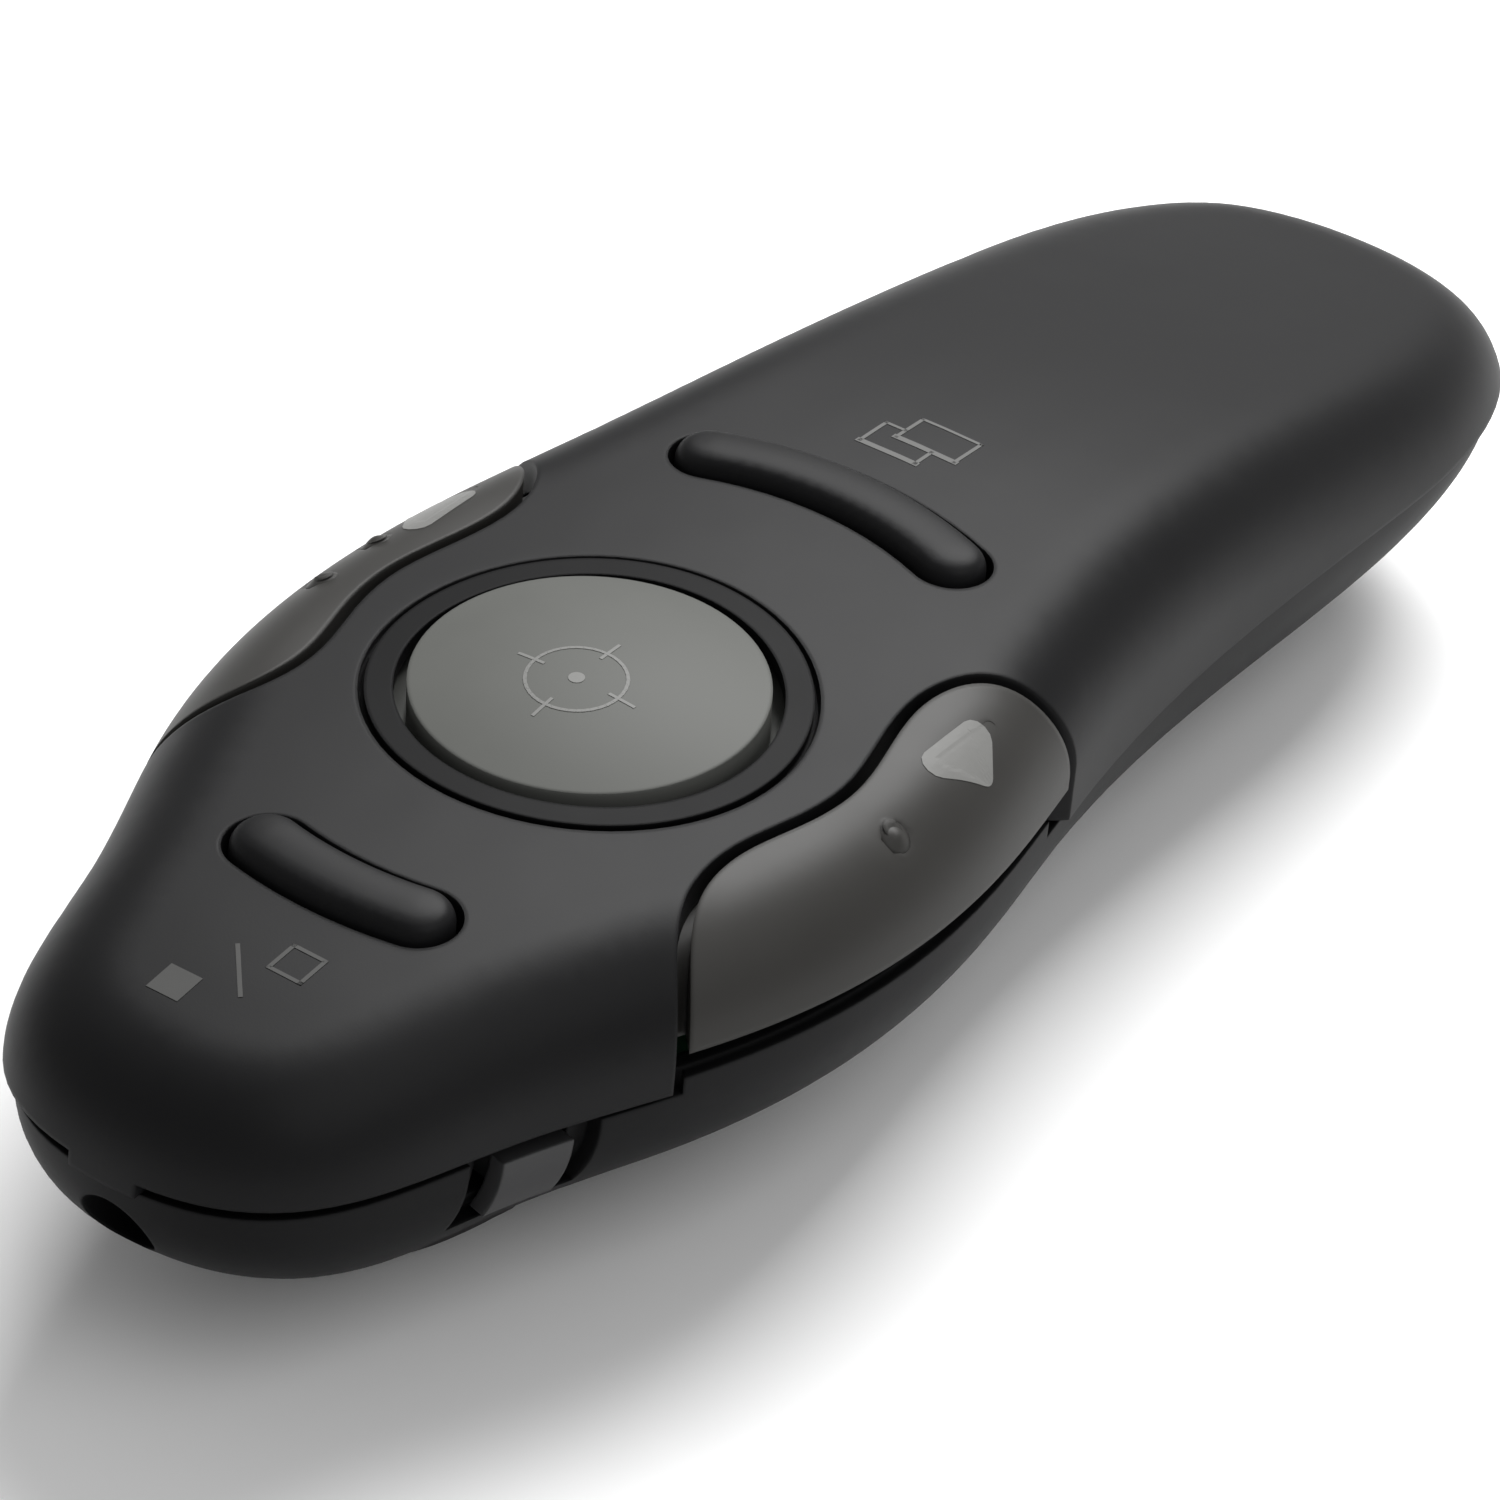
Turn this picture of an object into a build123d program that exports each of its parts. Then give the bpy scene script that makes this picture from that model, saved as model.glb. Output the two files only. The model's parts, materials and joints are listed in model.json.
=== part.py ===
from build123d import *
import math
import os

# Wireless presentation clicker, in millimetres.
# The nose points to -Y, the tail to +Y, the power switch and the back button are on +X,
# the bottom lies on Z = 0 and the origin is under the middle of the body.

os.makedirs("parts", exist_ok=True)

# ---- power: two AAA cells side by side, behind a hinged door in the bottom ----
cell_diameter = 10.5
cell_length = 44.5          # over the positive nub
nub_diameter = 3.8
nub_length = 0.8
cell_spacing = 0.2          # air between the two cells
cell_side_gap = 0.45        # air between a cell and the side of its bay
cell_floor_gap = 0.55       # air between a cell and the door
cell_roof_gap = 0.15        # air between a cell and the roof of its bay
spring_length = 3.6         # battery spring, pressed
plate_thickness = 0.4
door_wall = 1.5
bay_side_wall = 1.0
bay_end_wall = 1.2
plate_width = 8.0
plate_height = 8.4
spring_wire = 0.5
spring_turns = 3
spring_gap = 0.05           # air at each end of a spring
spring_radius = 2.6
bay_roof = 0.5

# ---- main board ----
board_thickness = 1.0
board_inset = 3.0           # board edge, measured in from the rim of the cover
board_nose_gap = 10.0       # front edge of the board, measured from the nose
board_tail_cut = 83.0       # rear edge of the board, measured from the nose

# ---- body ----
length = 122.0
flank = 4.15                # waist: from the side of the battery bay to the rim of the cover
rim_nose = [(-6.8, 3.7), (-3.0, 11.5), (-0.8, 19.5), (3.7, 29.5),
            (5.1, 39.5), (4.6, 49.5), (2.6, 59.5), (1.0, 69.5)]   # (wider than waist, from nose)
rim_tail = [(0.0, 26.0), (-1.2, 12.0), (-6.7, 2.5)]               # (wider than waist, from tail)
# crest line of the cover: (above seam, from nose) and (above seam, from tail)
crest_nose = [(5.1, -4.0), (8.6, 19.0), (9.8, 39.5), (10.9, 61.0), (10.8, 73.0)]
crest_tail = [(7.9, 25.0), (2.4, -4.0)]
cross_radius = 180.0        # curve of the cover from side to side
shoulder_radius = 6.5       # rounding between the crown and the sides of the cover
cover_side_wall = 1.2
cover_crown_wall = 1.8
rim_gap_nose = 0.95         # shadow gap between the two shells at the nose
rim_gap_tail = 0.2          # the same at the tail
wall_stations = (1.0, 0.62, 0.34, 0.14, 0.0)   # depths at which the side of the case is drawn
plan_steps = 24             # points along half an outline of the body
case_wall = 1.6
case_step_side = 0.8        # how far the bottom case stands inside the rim of the cover
case_step_end = 0.5
side_turn_radius = 7.4      # the side of the case turns in with this radius ...
side_turn = 42.0            # ... to this angle from upright
end_turn_radius = 7.2
end_turn = 58.0
bottom_edge_radius = 3.0
seam_above_board = 0.3      # the case rim stands this far above the underside of the board
lip_clearance = 0.25
lip_height = 1.2
tongue_half_width = 2.1     # locating tongue of the cover at the nose
tongue_depth = 8.0
tongue_gap = 0.05

# ---- buttons ----
button_from_nose = 39.5     # centre of the round button
button_tilt = 3.5           # the round button follows the slope of the crown
button_radius = 9.6
button_rise = 1.4           # top of the dome above the crown
button_edge_rise = 0.35
dome_share = 0.75           # share of the dome's rise that is left half-way out
button_gap = 0.7
ring_outer_radius = 12.0
ring_depth = 1.0
ring_proud = 0.1
groove_half_width = 0.17    # dark line round the ring
groove_depth = 0.45
ring_fit = 0.05
ring_seat = 0.2             # step of the cover under the edge of the ring
button_edge_radius = 0.6
button_skirt = 1.6
button_cap = 0.6
bar_edge_radius = 1.2
arrow_corner = 0.4
press_travel = 0.5
slip = 0.15                 # air between a collar and the inside of the cover
collar = 0.8                # thickness and overlap of the collars that hold the buttons in
bar_width = 4.0
bar_gap = 0.4
bar_rise = 0.95
window_bar_radius = 23.3    # arc about the centre of the round button, towards the tail
window_bar_half_angle = 20.0
blank_bar_radius = 21.4     # the same towards the nose
blank_bar_half_angle = 12.9
side_key_gap = 0.7
side_key_floor = 3.1        # lower edge of a side button above the seam
sill_height = 1.0           # the rim of the case rises this much under the side buttons
side_key_edge = [(5.2, 21.5), (3.0, 17.1), (0.6, 15.3), (-1.1, 12.1), (-0.9, 7.9), (0.2, 2.7),
                 (-0.1, -1.2), (-1.2, -6.1), (-0.5, -10.7), (2.2, -14.5), (4.7, -17.0)]
#                 inner edge: (outward from the side switch line, along from the round button)
side_key_line = 15.3
key_steps = 20              # points along the inner edge of a side button
side_mark_rise = 0.25
arrow_base = 16.85
arrow_tip = 19.9
arrow_middle = 10.2
arrow_half = 3.2
dot_radius = 0.55
dot_x = 18.6
dot_rise = 0.3
next_dots = (0.7, 5.4)
back_dots = (1.8,)

# ---- switches under the buttons ----
switch_side = 4.0
switch_height = 1.6
stem_radius = 1.1
stem_hole_gap = 0.15
stem_proud = 0.6            # stem above the switch housing
stem_root = 0.65            # stem inside the switch housing
stem_end_gap = 0.05         # air under a stem that is pressed home
switch_corner = 0.4
plunger_radius = 1.5
side_switch_x = 16.0
side_switch_along = 6.0     # along from the round button

# ---- fasteners ----
case_screw_radius = 1.0
case_head_radius = 1.8
case_head_height = 1.4
case_seat_z = 6.5
case_screw_bite = 4.0       # length in the post of the cover
screw_end_gap = 0.8
well_radius = 2.0
boss_radius = 3.0
post_radius = 2.1
join_z = 12.6               # where the posts of the cover stand on the bosses of the case
nose_screw_x = 8.0
nose_screw_from_nose = 27.0
tail_screw_x = 9.0
tail_screw_from_pocket = 0.4
board_screw_radius = 0.8
board_head_radius = 1.5
board_head_height = 1.0
board_screw_length = 4.5
board_post_radius = 2.2
board_post_x = 7.0
board_post_back = 4.3       # rear posts, from the battery bay
board_post_front = 7.5      # front posts, from the round button
screw_fit = 0.03
board_hole_gap = 0.35
board_screw_gap = 0.1
board_screw_end_gap = 0.5   # air under the tip of a board screw
cross_length = 1.2          # cross recess of a screw head, as shares of its radius ...
cross_width = 0.26
cross_depth = 0.6           # ... and of its height

# ---- parts on the board ----
chip_side = 5.0
chip_height = 0.9
chip_corner = 0.6
chip_along = -9.0           # along from the round button
crystal_size = (3.2, 2.5)
crystal_lid_size = (2.7, 2.0)
crystal_corner = 0.3
crystal_height = 0.8
crystal_lid = 0.15
crystal_along = -14.0
small_part_size = (1.6, 0.8)
small_part_height = 0.6
small_parts = [(-4, -12), (4, -12), (-11, 3), (11, 3), (-9, 9), (9, 12), (-7, 33), (7, 33), (0, 36)]

# ---- laser ----
laser_z = 10.0
window_radius = 2.1
window_thickness = 1.0
window_from_nose = 4.2
lens_set_back = 0.6
beam_radius = 1.6
barrel_radius = 3.1
barrel_bore = 2.3
barrel_length = 11.0
barrel_from_nose = 6.3
laser_fit = 0.03
lens_thickness = 1.6
lens_edge = 0.25
diode_flange_radius = 2.8
diode_flange = 1.0
diode_can_length = 2.4
pin_radius = 0.225
pin_length = 3.6
pin_circle = 1.0
pin_gap = 0.05              # air round a pin in its board
cradle_half_width = 4.6
barrel_overhang = 2.0       # the barrel stands this far out of its cradle
driver_board_gap = 2.0
driver_board_half_width = 4.5
driver_board_drop = 8.2
driver_board_thickness = 0.8

# ---- power switch ----
knob_from_nose = 16.9
knob_length = 4.2
knob_height = 4.2
knob_top = -0.4             # top of the knob, from the seam
knob_proud = 0.35
knob_gap = 0.3              # air behind the knob, which slides straight along a curved floor
knob_travel = 1.4           # each way
recess_length = 7.9
recess_depth = 1.1
recess_margin = 0.5
knob_pad_wall = 1.2
knob_stalk = 2.4            # square stalk behind the knob
stalk_drop = 2.1            # middle of the stalk below the seam
stalk_gap = 0.2             # air round the stalk and the lever as they slide
stalk_overlap = 0.3         # the stalk stops this far in front of the switch
lever_grip = 1.0            # length of the lever inside the stalk
lever_root = 1.2            # length of the lever inside the switch
lever_slot_end = 0.4        # air behind the lever
switch_slot_gap = 0.15
knob_pad_edge = 0.2
knob_reach = 12.0           # how far into the case the cuts of the switch run
lever_side = 1.4
lever_fit = 0.05
slide_switch_set_back = 4.9
slide_switch_depth = 3.0
slide_switch_length = 7.4
slide_switch_height = 3.6

# ---- USB receiver, stored in the tail ----
usb_z = 9.0
plug_width = 12.0
plug_height = 4.5
plug_length = 12.0
plug_metal = 0.3
plug_hole_x = 2.6           # the two square holes of the plug's shell
plug_hole_in = 6.4
plug_hole_size = (2.2, 2.0)
plug_fit = 0.05
plug_mouth = 0.3            # the tongue starts this far inside the shell
tongue_thickness = 1.9
contact_places = (-3.5, -1.2, 1.2, 3.5)
contact_half = 0.5
contact_in = 1.0
contact_back = 2.0
contact_rise = 0.1
cap_width = 14.4
cap_height = 6.0
cap_from_tail = 6.8
usb_gap = 0.2
pocket_wall = 1.0
pocket_end_gap = 0.3
bay_to_pocket = 2.3

# ---- door ----
hinge_height = 0.85
hinge_in = 0.3              # hinge line, from the nose end of the bay
door_gap = 0.15
door_side_lap = 0.15        # the door is this much narrower than the bay on each side
hinge_half_width = 7.5
hinge_pin_radius = 0.55
hinge_pin_length = 1.2
hinge_fit = 0.06
hinge_end_gap = 0.1         # air past the end of a pin
hinge_wall = 0.8
hinge_block_half = 1.4      # the blocks that hold the pins, to each side of the hinge line
hinge_block_low = 0.2
hinge_leaf = 3.0            # overlap of the hinge tab and the door
door_step = 2.2             # full width starts this far from the nose end of the bay
door_tail_lap = 0.6
door_rib = 1.9
door_rib_half = 0.5
door_rib_end = 3.0          # the rib stops this far from the hinge and the latch
door_corner = 1.5
latch_half_width = 4.5
latch_length = 7.0
latch_slot = 0.6

# ---- values worked out from those above ----
nose_y = -length / 2
tail_y = length / 2
cell_x = (cell_diameter + cell_spacing) / 2
bay_half_width = cell_x + cell_diameter / 2 + cell_side_gap
waist = bay_half_width + bay_side_wall + flank
bulge = waist + max(extra for extra, _ in rim_nose)
cell_z = door_wall + cell_floor_gap + cell_diameter / 2
bay_roof_z = cell_z + cell_diameter / 2 + cell_roof_gap
board_z = bay_roof_z + bay_roof
board_top = board_z + board_thickness
seam_z = board_z + seam_above_board
stem_top = board_top + switch_height + stem_proud
button_y = nose_y + button_from_nose
reach = 60.0                # longer than any cut has to be
past = 2.0                  # how far a cut runs past the surface that it opens
halvings = 40               # steps that close in on a place along a curve

cap_y = tail_y - cap_from_tail
pocket_y = cap_y - plug_length - pocket_end_gap
bay_tail_y = pocket_y - pocket_wall - bay_to_pocket - bay_end_wall
bay_nose_y = bay_tail_y - cell_length - spring_length - 2 * plate_thickness

rim_points = [(waist + extra, nose_y + along) for extra, along in rim_nose]
rim_points += [(waist + extra, tail_y - along) for extra, along in rim_tail]
crest_points = [(nose_y + along, seam_z + rise) for rise, along in crest_nose]
crest_points += [(tail_y - along, seam_z + rise) for rise, along in crest_tail]

rim = Spline((0, nose_y), *rim_points, (0, tail_y),
             *[(-x, y) for x, y in reversed(rim_points)], periodic=True)


def outline(inset, tuck_side=0.0, tuck_end=0.0, steps=plan_steps):
    # plan of the body, pulled in by inset square to its edge and narrowed by the tucks
    across = 1 - tuck_side / bulge
    along = 1 - tuck_end / tail_y
    points = []
    for step in range(steps):
        place = rim @ (step / steps)
        way = rim % (step / steps)
        way_x, way_y = way.X * across, way.Y * along
        size = math.hypot(way_x, way_y)
        points.append((place.X * across - way_y / size * inset, place.Y * along + way_x / size * inset))
    with BuildSketch() as plan:
        with BuildLine():
            Spline(*points, periodic=True)
        make_face()
    return plan.sketch


def crown(drop):
    # everything under the crest line of the cover, which also curves from side to side
    half = waist + flank * 3
    sag = cross_radius - math.sqrt(cross_radius**2 - half**2)
    depth = seam_z + crest_nose[-1][0]
    with BuildPart() as block:
        with BuildLine(Plane.YZ) as path:
            Spline(*[(y, z - drop) for y, z in crest_points])
        with BuildSketch(Plane(path.line @ 0, x_dir=(-1, 0, 0), z_dir=path.line % 0)):
            with BuildLine():
                top = ThreePointArc((-half, -sag), (0, 0), (half, -sag))
                Polyline(top @ 1, (half, -depth), (-half, -depth), top @ 0)
            make_face()
        sweep(path=path.line)
    return block.part


def dome(inset, drop):
    # solid under the skin of the cover, pulled in by inset at the sides and drop at the crown
    plan = outline(inset)
    cap = crown(drop)
    with BuildPart() as solid:
        with BuildSketch(Plane.XY.offset(seam_z - 1)):
            add(plan)
        extrude(amount=reach)
        add(cap, mode=Mode.INTERSECT)
        fillet(solid.faces().sort_by(Axis.Z)[-1].edges(), shoulder_radius - inset)
    return solid.part


def turn_in(depth, radius, angle):
    # how far a wall has turned in at this depth: an arc, then a straight slope
    slope = math.radians(angle)
    if depth < radius * math.sin(slope):
        return radius - math.sqrt(radius**2 - depth**2)
    return radius * (1 - math.cos(slope)) + (depth - radius * math.sin(slope)) * math.tan(slope)


def hull(inset, floor, top, edge):
    # boat-shaped lower body between the heights floor and top
    plans = []
    for share in wall_stations:
        depth = (seam_z - floor) * share
        side = case_step_side + turn_in(depth, side_turn_radius, side_turn)
        end = case_step_end + turn_in(depth, end_turn_radius, end_turn)
        plans.append((seam_z - depth, outline(inset, side, end)))
    with BuildPart() as solid:
        for height, plan in plans:
            with BuildSketch(Plane.XY.offset(height)):
                add(plan)
        loft()
        fillet(solid.faces().sort_by(Axis.Z)[0].edges(), edge)
        if top > seam_z:
            with BuildSketch(Plane.XY.offset(seam_z)):
                add(plans[-1][1])
            extrude(amount=top - seam_z)
    return solid.part


def box_between(x_range, y_range, z_range):
    with BuildPart() as block:
        with BuildSketch(Plane.XY.offset(z_range[0])):
            with Locations(((x_range[0] + x_range[1]) / 2, (y_range[0] + y_range[1]) / 2)):
                Rectangle(x_range[1] - x_range[0], y_range[1] - y_range[0])
        extrude(amount=z_range[1] - z_range[0])
    return block.part


def crest_height(y):
    # height of the crest line over a place along the body
    low, high = 0.0, 1.0
    crest = Spline(*crest_points)
    for _ in range(halvings):
        middle = (low + high) / 2
        if (crest @ middle).X < y:
            low = middle
        else:
            high = middle
    return (crest @ low).Y


# ---- shared solids ----
skin = dome(0, 0)
skin_inside = dome(cover_side_wall, cover_crown_wall)
collar_roof = dome(cover_side_wall + slip, cover_crown_wall + slip)
collar_floor = dome(cover_side_wall + slip + collar, cover_crown_wall + slip + collar)
case_solid = hull(0, 0, seam_z, bottom_edge_radius)
case_cavity = hull(case_wall, door_wall, seam_z + past, bottom_edge_radius - door_wall)

button_z = crest_height(button_y)
tilt = math.radians(button_tilt)
button_plane = Plane((0, button_y, button_z), x_dir=(1, 0, 0), z_dir=(0, -math.sin(tilt), math.cos(tilt)))
collar_drop = cover_crown_wall + slip + cross_radius - math.sqrt(cross_radius**2 - ring_outer_radius**2)
collar_radius = ring_outer_radius - ring_seat
cover_hole_radius = collar_radius - collar
button_switch_y = button_y + (button_z - stem_top) * math.tan(tilt)

window_bar_arc = CenterArc((0, button_y), window_bar_radius, 90 - window_bar_half_angle,
                           2 * window_bar_half_angle)
blank_bar_arc = CenterArc((0, button_y), blank_bar_radius, -90 - blank_bar_half_angle,
                          2 * blank_bar_half_angle)
window_bar_y = button_y + window_bar_radius
blank_bar_y = button_y - blank_bar_radius

switch_places = [(0, button_switch_y), (0, window_bar_y), (0, blank_bar_y),
                 (side_switch_x, button_y + side_switch_along),
                 (-side_switch_x, button_y + side_switch_along)]
nose_screw_y = nose_y + nose_screw_from_nose
tail_screw_y = pocket_y + tail_screw_from_pocket
case_screw_places = [(side * x, y) for side in (-1, 1)
                     for x, y in ((nose_screw_x, nose_screw_y), (tail_screw_x, tail_screw_y))]
board_post_places = [(side * board_post_x, y) for side in (-1, 1)
                     for y in (button_y - board_post_front, bay_nose_y - bay_end_wall - board_post_back)]


side_edge = Spline(*[(side_key_line + out, button_y + along) for out, along in side_key_edge])


def side_key_plan(side, grow, steps=key_steps):
    # plan of a side button: a curved inner edge, moved in by grow, and open to the outside of the body
    points = []
    for step in range(steps + 1):
        place = side_edge @ (step / steps)
        way = side_edge % (step / steps)
        points.append((side * (place.X + way.Y * grow), place.Y - way.X * grow))
    far = side * (bulge + flank)
    with BuildSketch() as plan:
        with BuildLine():
            inner = Spline(*points)
            Polyline(inner @ 1, (far, points[-1][1]), (far, points[0][1]), inner @ 0)
        make_face()
    return plan.sketch


def bar_plan(arc, width):
    with BuildSketch() as plan:
        SlotArc(arc, width)
    return plan.sketch


def prism(plan, low, high):
    with BuildPart() as block:
        with BuildSketch(Plane.XY.offset(low)):
            add(plan)
        extrude(amount=high - low)
    return block.part


def key(plan, collar_plan, top, low, plunger_place):
    # a button: a cap under the surface top, a collar that stays under the cover and a plunger
    body = prism(plan, low, reach)
    ledge = prism(collar_plan, low, reach)
    with BuildPart() as held:
        add(ledge)
        add(collar_roof, mode=Mode.INTERSECT)
    with BuildPart() as pusher:
        with BuildSketch(Plane.XY.offset(stem_top)):
            with Locations(plunger_place):
                Circle(plunger_radius)
        extrude(amount=reach)
        add(collar_roof, mode=Mode.INTERSECT)
    with BuildPart() as whole:
        add(body)
        add(top, mode=Mode.INTERSECT)
        add(held.part)
        add(collar_floor, mode=Mode.SUBTRACT)
        add(pusher.part)
    return whole.part


def stem(place):
    with BuildPart() as pin:
        with BuildSketch(Plane.XY.offset(stem_top - stem_proud - stem_root)):
            with Locations(place):
                Circle(stem_radius)
        extrude(amount=stem_proud + stem_root)
    return pin.part


# ---- top cover ----
rim_nose_z = seam_z + rim_gap_nose
rim_tail_z = seam_z + rim_gap_tail
with BuildPart() as below_rim:
    with BuildSketch(Plane.YZ):
        with BuildLine():
            Polyline((nose_y - past, 0), (tail_y + past, 0), (tail_y + past, rim_tail_z),
                     (nose_y - past, rim_nose_z), close=True)
        make_face()
    extrude(amount=reach, both=True)
tongue_space = box_between((-tongue_half_width, tongue_half_width), (nose_y - past, nose_y + tongue_depth),
                           (seam_z + tongue_gap, rim_nose_z + past))
with BuildPart() as cover_posts:
    with BuildSketch(Plane.XY.offset(join_z)):
        with Locations(*case_screw_places):
            Circle(post_radius)
    extrude(amount=reach)
with BuildPart() as cover_space:
    add(skin_inside)
    add(cover_posts.part, mode=Mode.SUBTRACT)
with BuildPart() as rim_cut:
    add(below_rim.part)
    add(tongue_space, mode=Mode.SUBTRACT)
    add(cover_posts.part, mode=Mode.SUBTRACT)
with BuildPart() as ring_groove:
    with BuildSketch(button_plane.offset(-ring_depth)):
        Circle(ring_outer_radius + groove_half_width)
        Circle(ring_outer_radius - groove_half_width, mode=Mode.SUBTRACT)
    extrude(amount=ring_depth + past)
    add(dome(groove_depth, groove_depth), mode=Mode.SUBTRACT)
bar_slot = bar_width + 2 * bar_gap
with BuildPart() as button_cuts:
    for plan in (bar_plan(window_bar_arc, bar_slot), bar_plan(blank_bar_arc, bar_slot),
                 side_key_plan(1, side_key_gap), side_key_plan(-1, side_key_gap)):
        add(prism(plan, seam_z - past, reach))
    with BuildSketch(button_plane.offset(-collar_drop - collar)):
        Circle(cover_hole_radius)
    extrude(amount=reach)
    with BuildSketch(button_plane.offset(-ring_depth)):
        Circle(ring_outer_radius + ring_fit)
    extrude(amount=reach)
    with BuildSketch(Plane.XY.offset(join_z)):
        with Locations(*case_screw_places):
            Circle(case_screw_radius + screw_fit)
    extrude(amount=case_screw_bite + screw_end_gap)

with BuildPart() as top_cover:
    add(skin)
    with BuildSketch(Plane.XY.offset(join_z)):
        with Locations(*case_screw_places):
            Circle(post_radius)
    extrude(amount=seam_z - join_z)
    add([cover_space.part, rim_cut.part, button_cuts.part, ring_groove.part], mode=Mode.SUBTRACT)
top_cover.part.label = "top_cover"
export_step(top_cover.part, "parts/top_cover.step")

# ---- ring round the laser button, pressed into the cover ----
ring_skin = dome(-ring_proud, -ring_proud)
with BuildPart() as thumb_ring:
    with BuildSketch(button_plane.offset(-ring_depth)):
        Circle(ring_outer_radius)
        Circle(button_radius + button_gap, mode=Mode.SUBTRACT)
    extrude(amount=ring_depth + past)
    add(ring_skin, mode=Mode.INTERSECT)
    add(ring_groove.part, mode=Mode.SUBTRACT)
thumb_ring.part.label = "thumb_ring"
export_step(thumb_ring.part, "parts/thumb_ring.step")

# ---- round laser button: domed cap, collar under the cover, plunger to its switch ----
section_plane = Plane(button_plane.origin, x_dir=(1, 0, 0), z_dir=-button_plane.y_dir)
button_low = -collar_drop - collar
dome_chord = button_edge_rise + (button_rise - button_edge_rise) * dome_share
with BuildPart() as laser_button:
    with BuildSketch(section_plane) as button_section:
        with BuildLine():
            top = ThreePointArc((0, button_rise), (button_radius / 2, dome_chord),
                                (button_radius, button_edge_rise))
            Polyline(top @ 1, (button_radius, button_low + collar), (collar_radius, button_low + collar),
                     (collar_radius, button_low), (button_radius - button_skirt, button_low),
                     (button_radius - button_skirt, -button_cap), (0, -button_cap), top @ 0)
        make_face()
        rim_corner = button_section.vertices().sort_by_distance(section_plane.from_local_coords(
            (button_radius, button_edge_rise)))[0]
        fillet(rim_corner, button_edge_radius)
    revolve(axis=Axis(button_plane.origin, button_plane.z_dir))
    with BuildSketch(Plane.XY.offset(stem_top)):
        with Locations((0, button_switch_y)):
            Circle(plunger_radius)
    extrude(amount=button_z - stem_top - button_cap / 2)
laser_button.part.label = "laser_button"
export_step(laser_button.part, "parts/laser_button.step")

# ---- the two bar buttons, bent round the laser button ----
bar_skin = dome(-bar_rise, -bar_rise)
bar_collar = bar_slot + 2 * collar


def bar_button(arc, place):
    whole = key(bar_plan(arc, bar_width), bar_plan(arc, bar_collar), bar_skin, seam_z, place)
    with BuildPart() as rounded:
        add(whole)
        top_edges = rounded.faces().sort_by(Axis.Z)[-1].edges()
        fillet(top_edges, bar_edge_radius)
    return rounded


window_bar = bar_button(window_bar_arc, (0, window_bar_y))
window_bar.part.label = "window_bar"
export_step(window_bar.part, "parts/window_bar.step")

blank_bar = bar_button(blank_bar_arc, (0, blank_bar_y))
blank_bar.part.label = "blank_bar"
export_step(blank_bar.part, "parts/blank_bar.step")

# ---- side buttons: the shoulder of the body, with a raised arrow and finger dots ----
mark_skin = dome(-side_mark_rise, -side_mark_rise)
side_switch_y = button_y + side_switch_along


def side_button(side, dots):
    low = seam_z + side_key_floor
    whole = key(side_key_plan(side, 0), side_key_plan(side, side_key_gap + collar), skin, low,
                (side * side_switch_x, side_switch_y))
    middle = button_y + arrow_middle
    with BuildSketch() as arrow_plan:
        with BuildLine():
            Polyline((side * arrow_base, middle - arrow_half), (side * arrow_base, middle + arrow_half),
                     (side * arrow_tip, middle), close=True)
        make_face()
        fillet(arrow_plan.vertices(), arrow_corner)
    with BuildPart() as arrow:
        with BuildSketch(Plane.XY.offset(seam_z + side_key_floor)):
            add(arrow_plan.sketch)
        extrude(amount=reach)
        add(mark_skin, mode=Mode.INTERSECT)
        add(skin_inside, mode=Mode.SUBTRACT)
    with BuildPart() as finger_dots:
        with BuildSketch(Plane.XY.offset(seam_z + side_key_floor)):
            with Locations(*[(side * dot_x, button_y + along) for along in dots]):
                Circle(dot_radius)
        extrude(amount=reach)
        add(dot_skin, mode=Mode.INTERSECT)
        add(skin_inside, mode=Mode.SUBTRACT)
    with BuildPart() as button:
        add(whole)
        add(arrow.part)
        add(finger_dots.part)
    return button


dot_skin = dome(-dot_rise, -dot_rise)
back_button = side_button(1, back_dots)
back_button.part.label = "back_button"
export_step(back_button.part, "parts/back_button.step")

next_button = side_button(-1, next_dots)
next_button.part.label = "next_button"
export_step(next_button.part, "parts/next_button.step")

# ---- bottom case ----
beam_plane = Plane.XZ.offset(-nose_y)
door_half_width = bay_half_width - door_side_lap
hinge_y = bay_nose_y + hinge_in
door_nose_y = bay_nose_y + door_step
door_tail_y = bay_tail_y + door_tail_lap
hinge_edge_y = hinge_y - hinge_height
pin_block_top = hinge_height * 2 + hinge_pin_radius + hinge_fit
swing_clear_z = door_wall + hinge_height

knob_y = nose_y + knob_from_nose
low, high = 0.0, 0.5
for _ in range(halvings):
    half = (low + high) / 2
    low, high = (half, high) if (rim @ half).Y < knob_y else (low, half)
knob_place = rim @ low
knob_way = rim % low
knob_plane = Plane((knob_place.X, knob_place.Y, 0), x_dir=(knob_way.Y, -knob_way.X, 0), z_dir=(0, 0, 1))


def knob_block(out_range, along_range, z_range):
    # block in the frame of the power switch: out from the rim, along the rim, up
    with BuildPart() as block:
        with BuildSketch(knob_plane.offset(z_range[0])):
            with Locations(((out_range[0] + out_range[1]) / 2, (along_range[0] + along_range[1]) / 2)):
                Rectangle(out_range[1] - out_range[0], along_range[1] - along_range[0])
        extrude(amount=z_range[1] - z_range[0])
    return block.part


recess_low = seam_z - knob_height + knob_top - recess_margin
recess_half = recess_length / 2
stalk_z = seam_z - stalk_drop
stalk_half = knob_stalk / 2
case_skin_out = hull(-knob_proud, 0, seam_z + knob_top, bottom_edge_radius)
recess_floor = hull(recess_depth, 0, seam_z + past, bottom_edge_radius - recess_depth)
knob_back = hull(recess_depth - knob_gap, 0, seam_z + past, bottom_edge_radius - recess_depth)
pad_back = hull(knob_pad_wall + recess_depth, door_wall, seam_z + past, knob_pad_edge)

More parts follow.
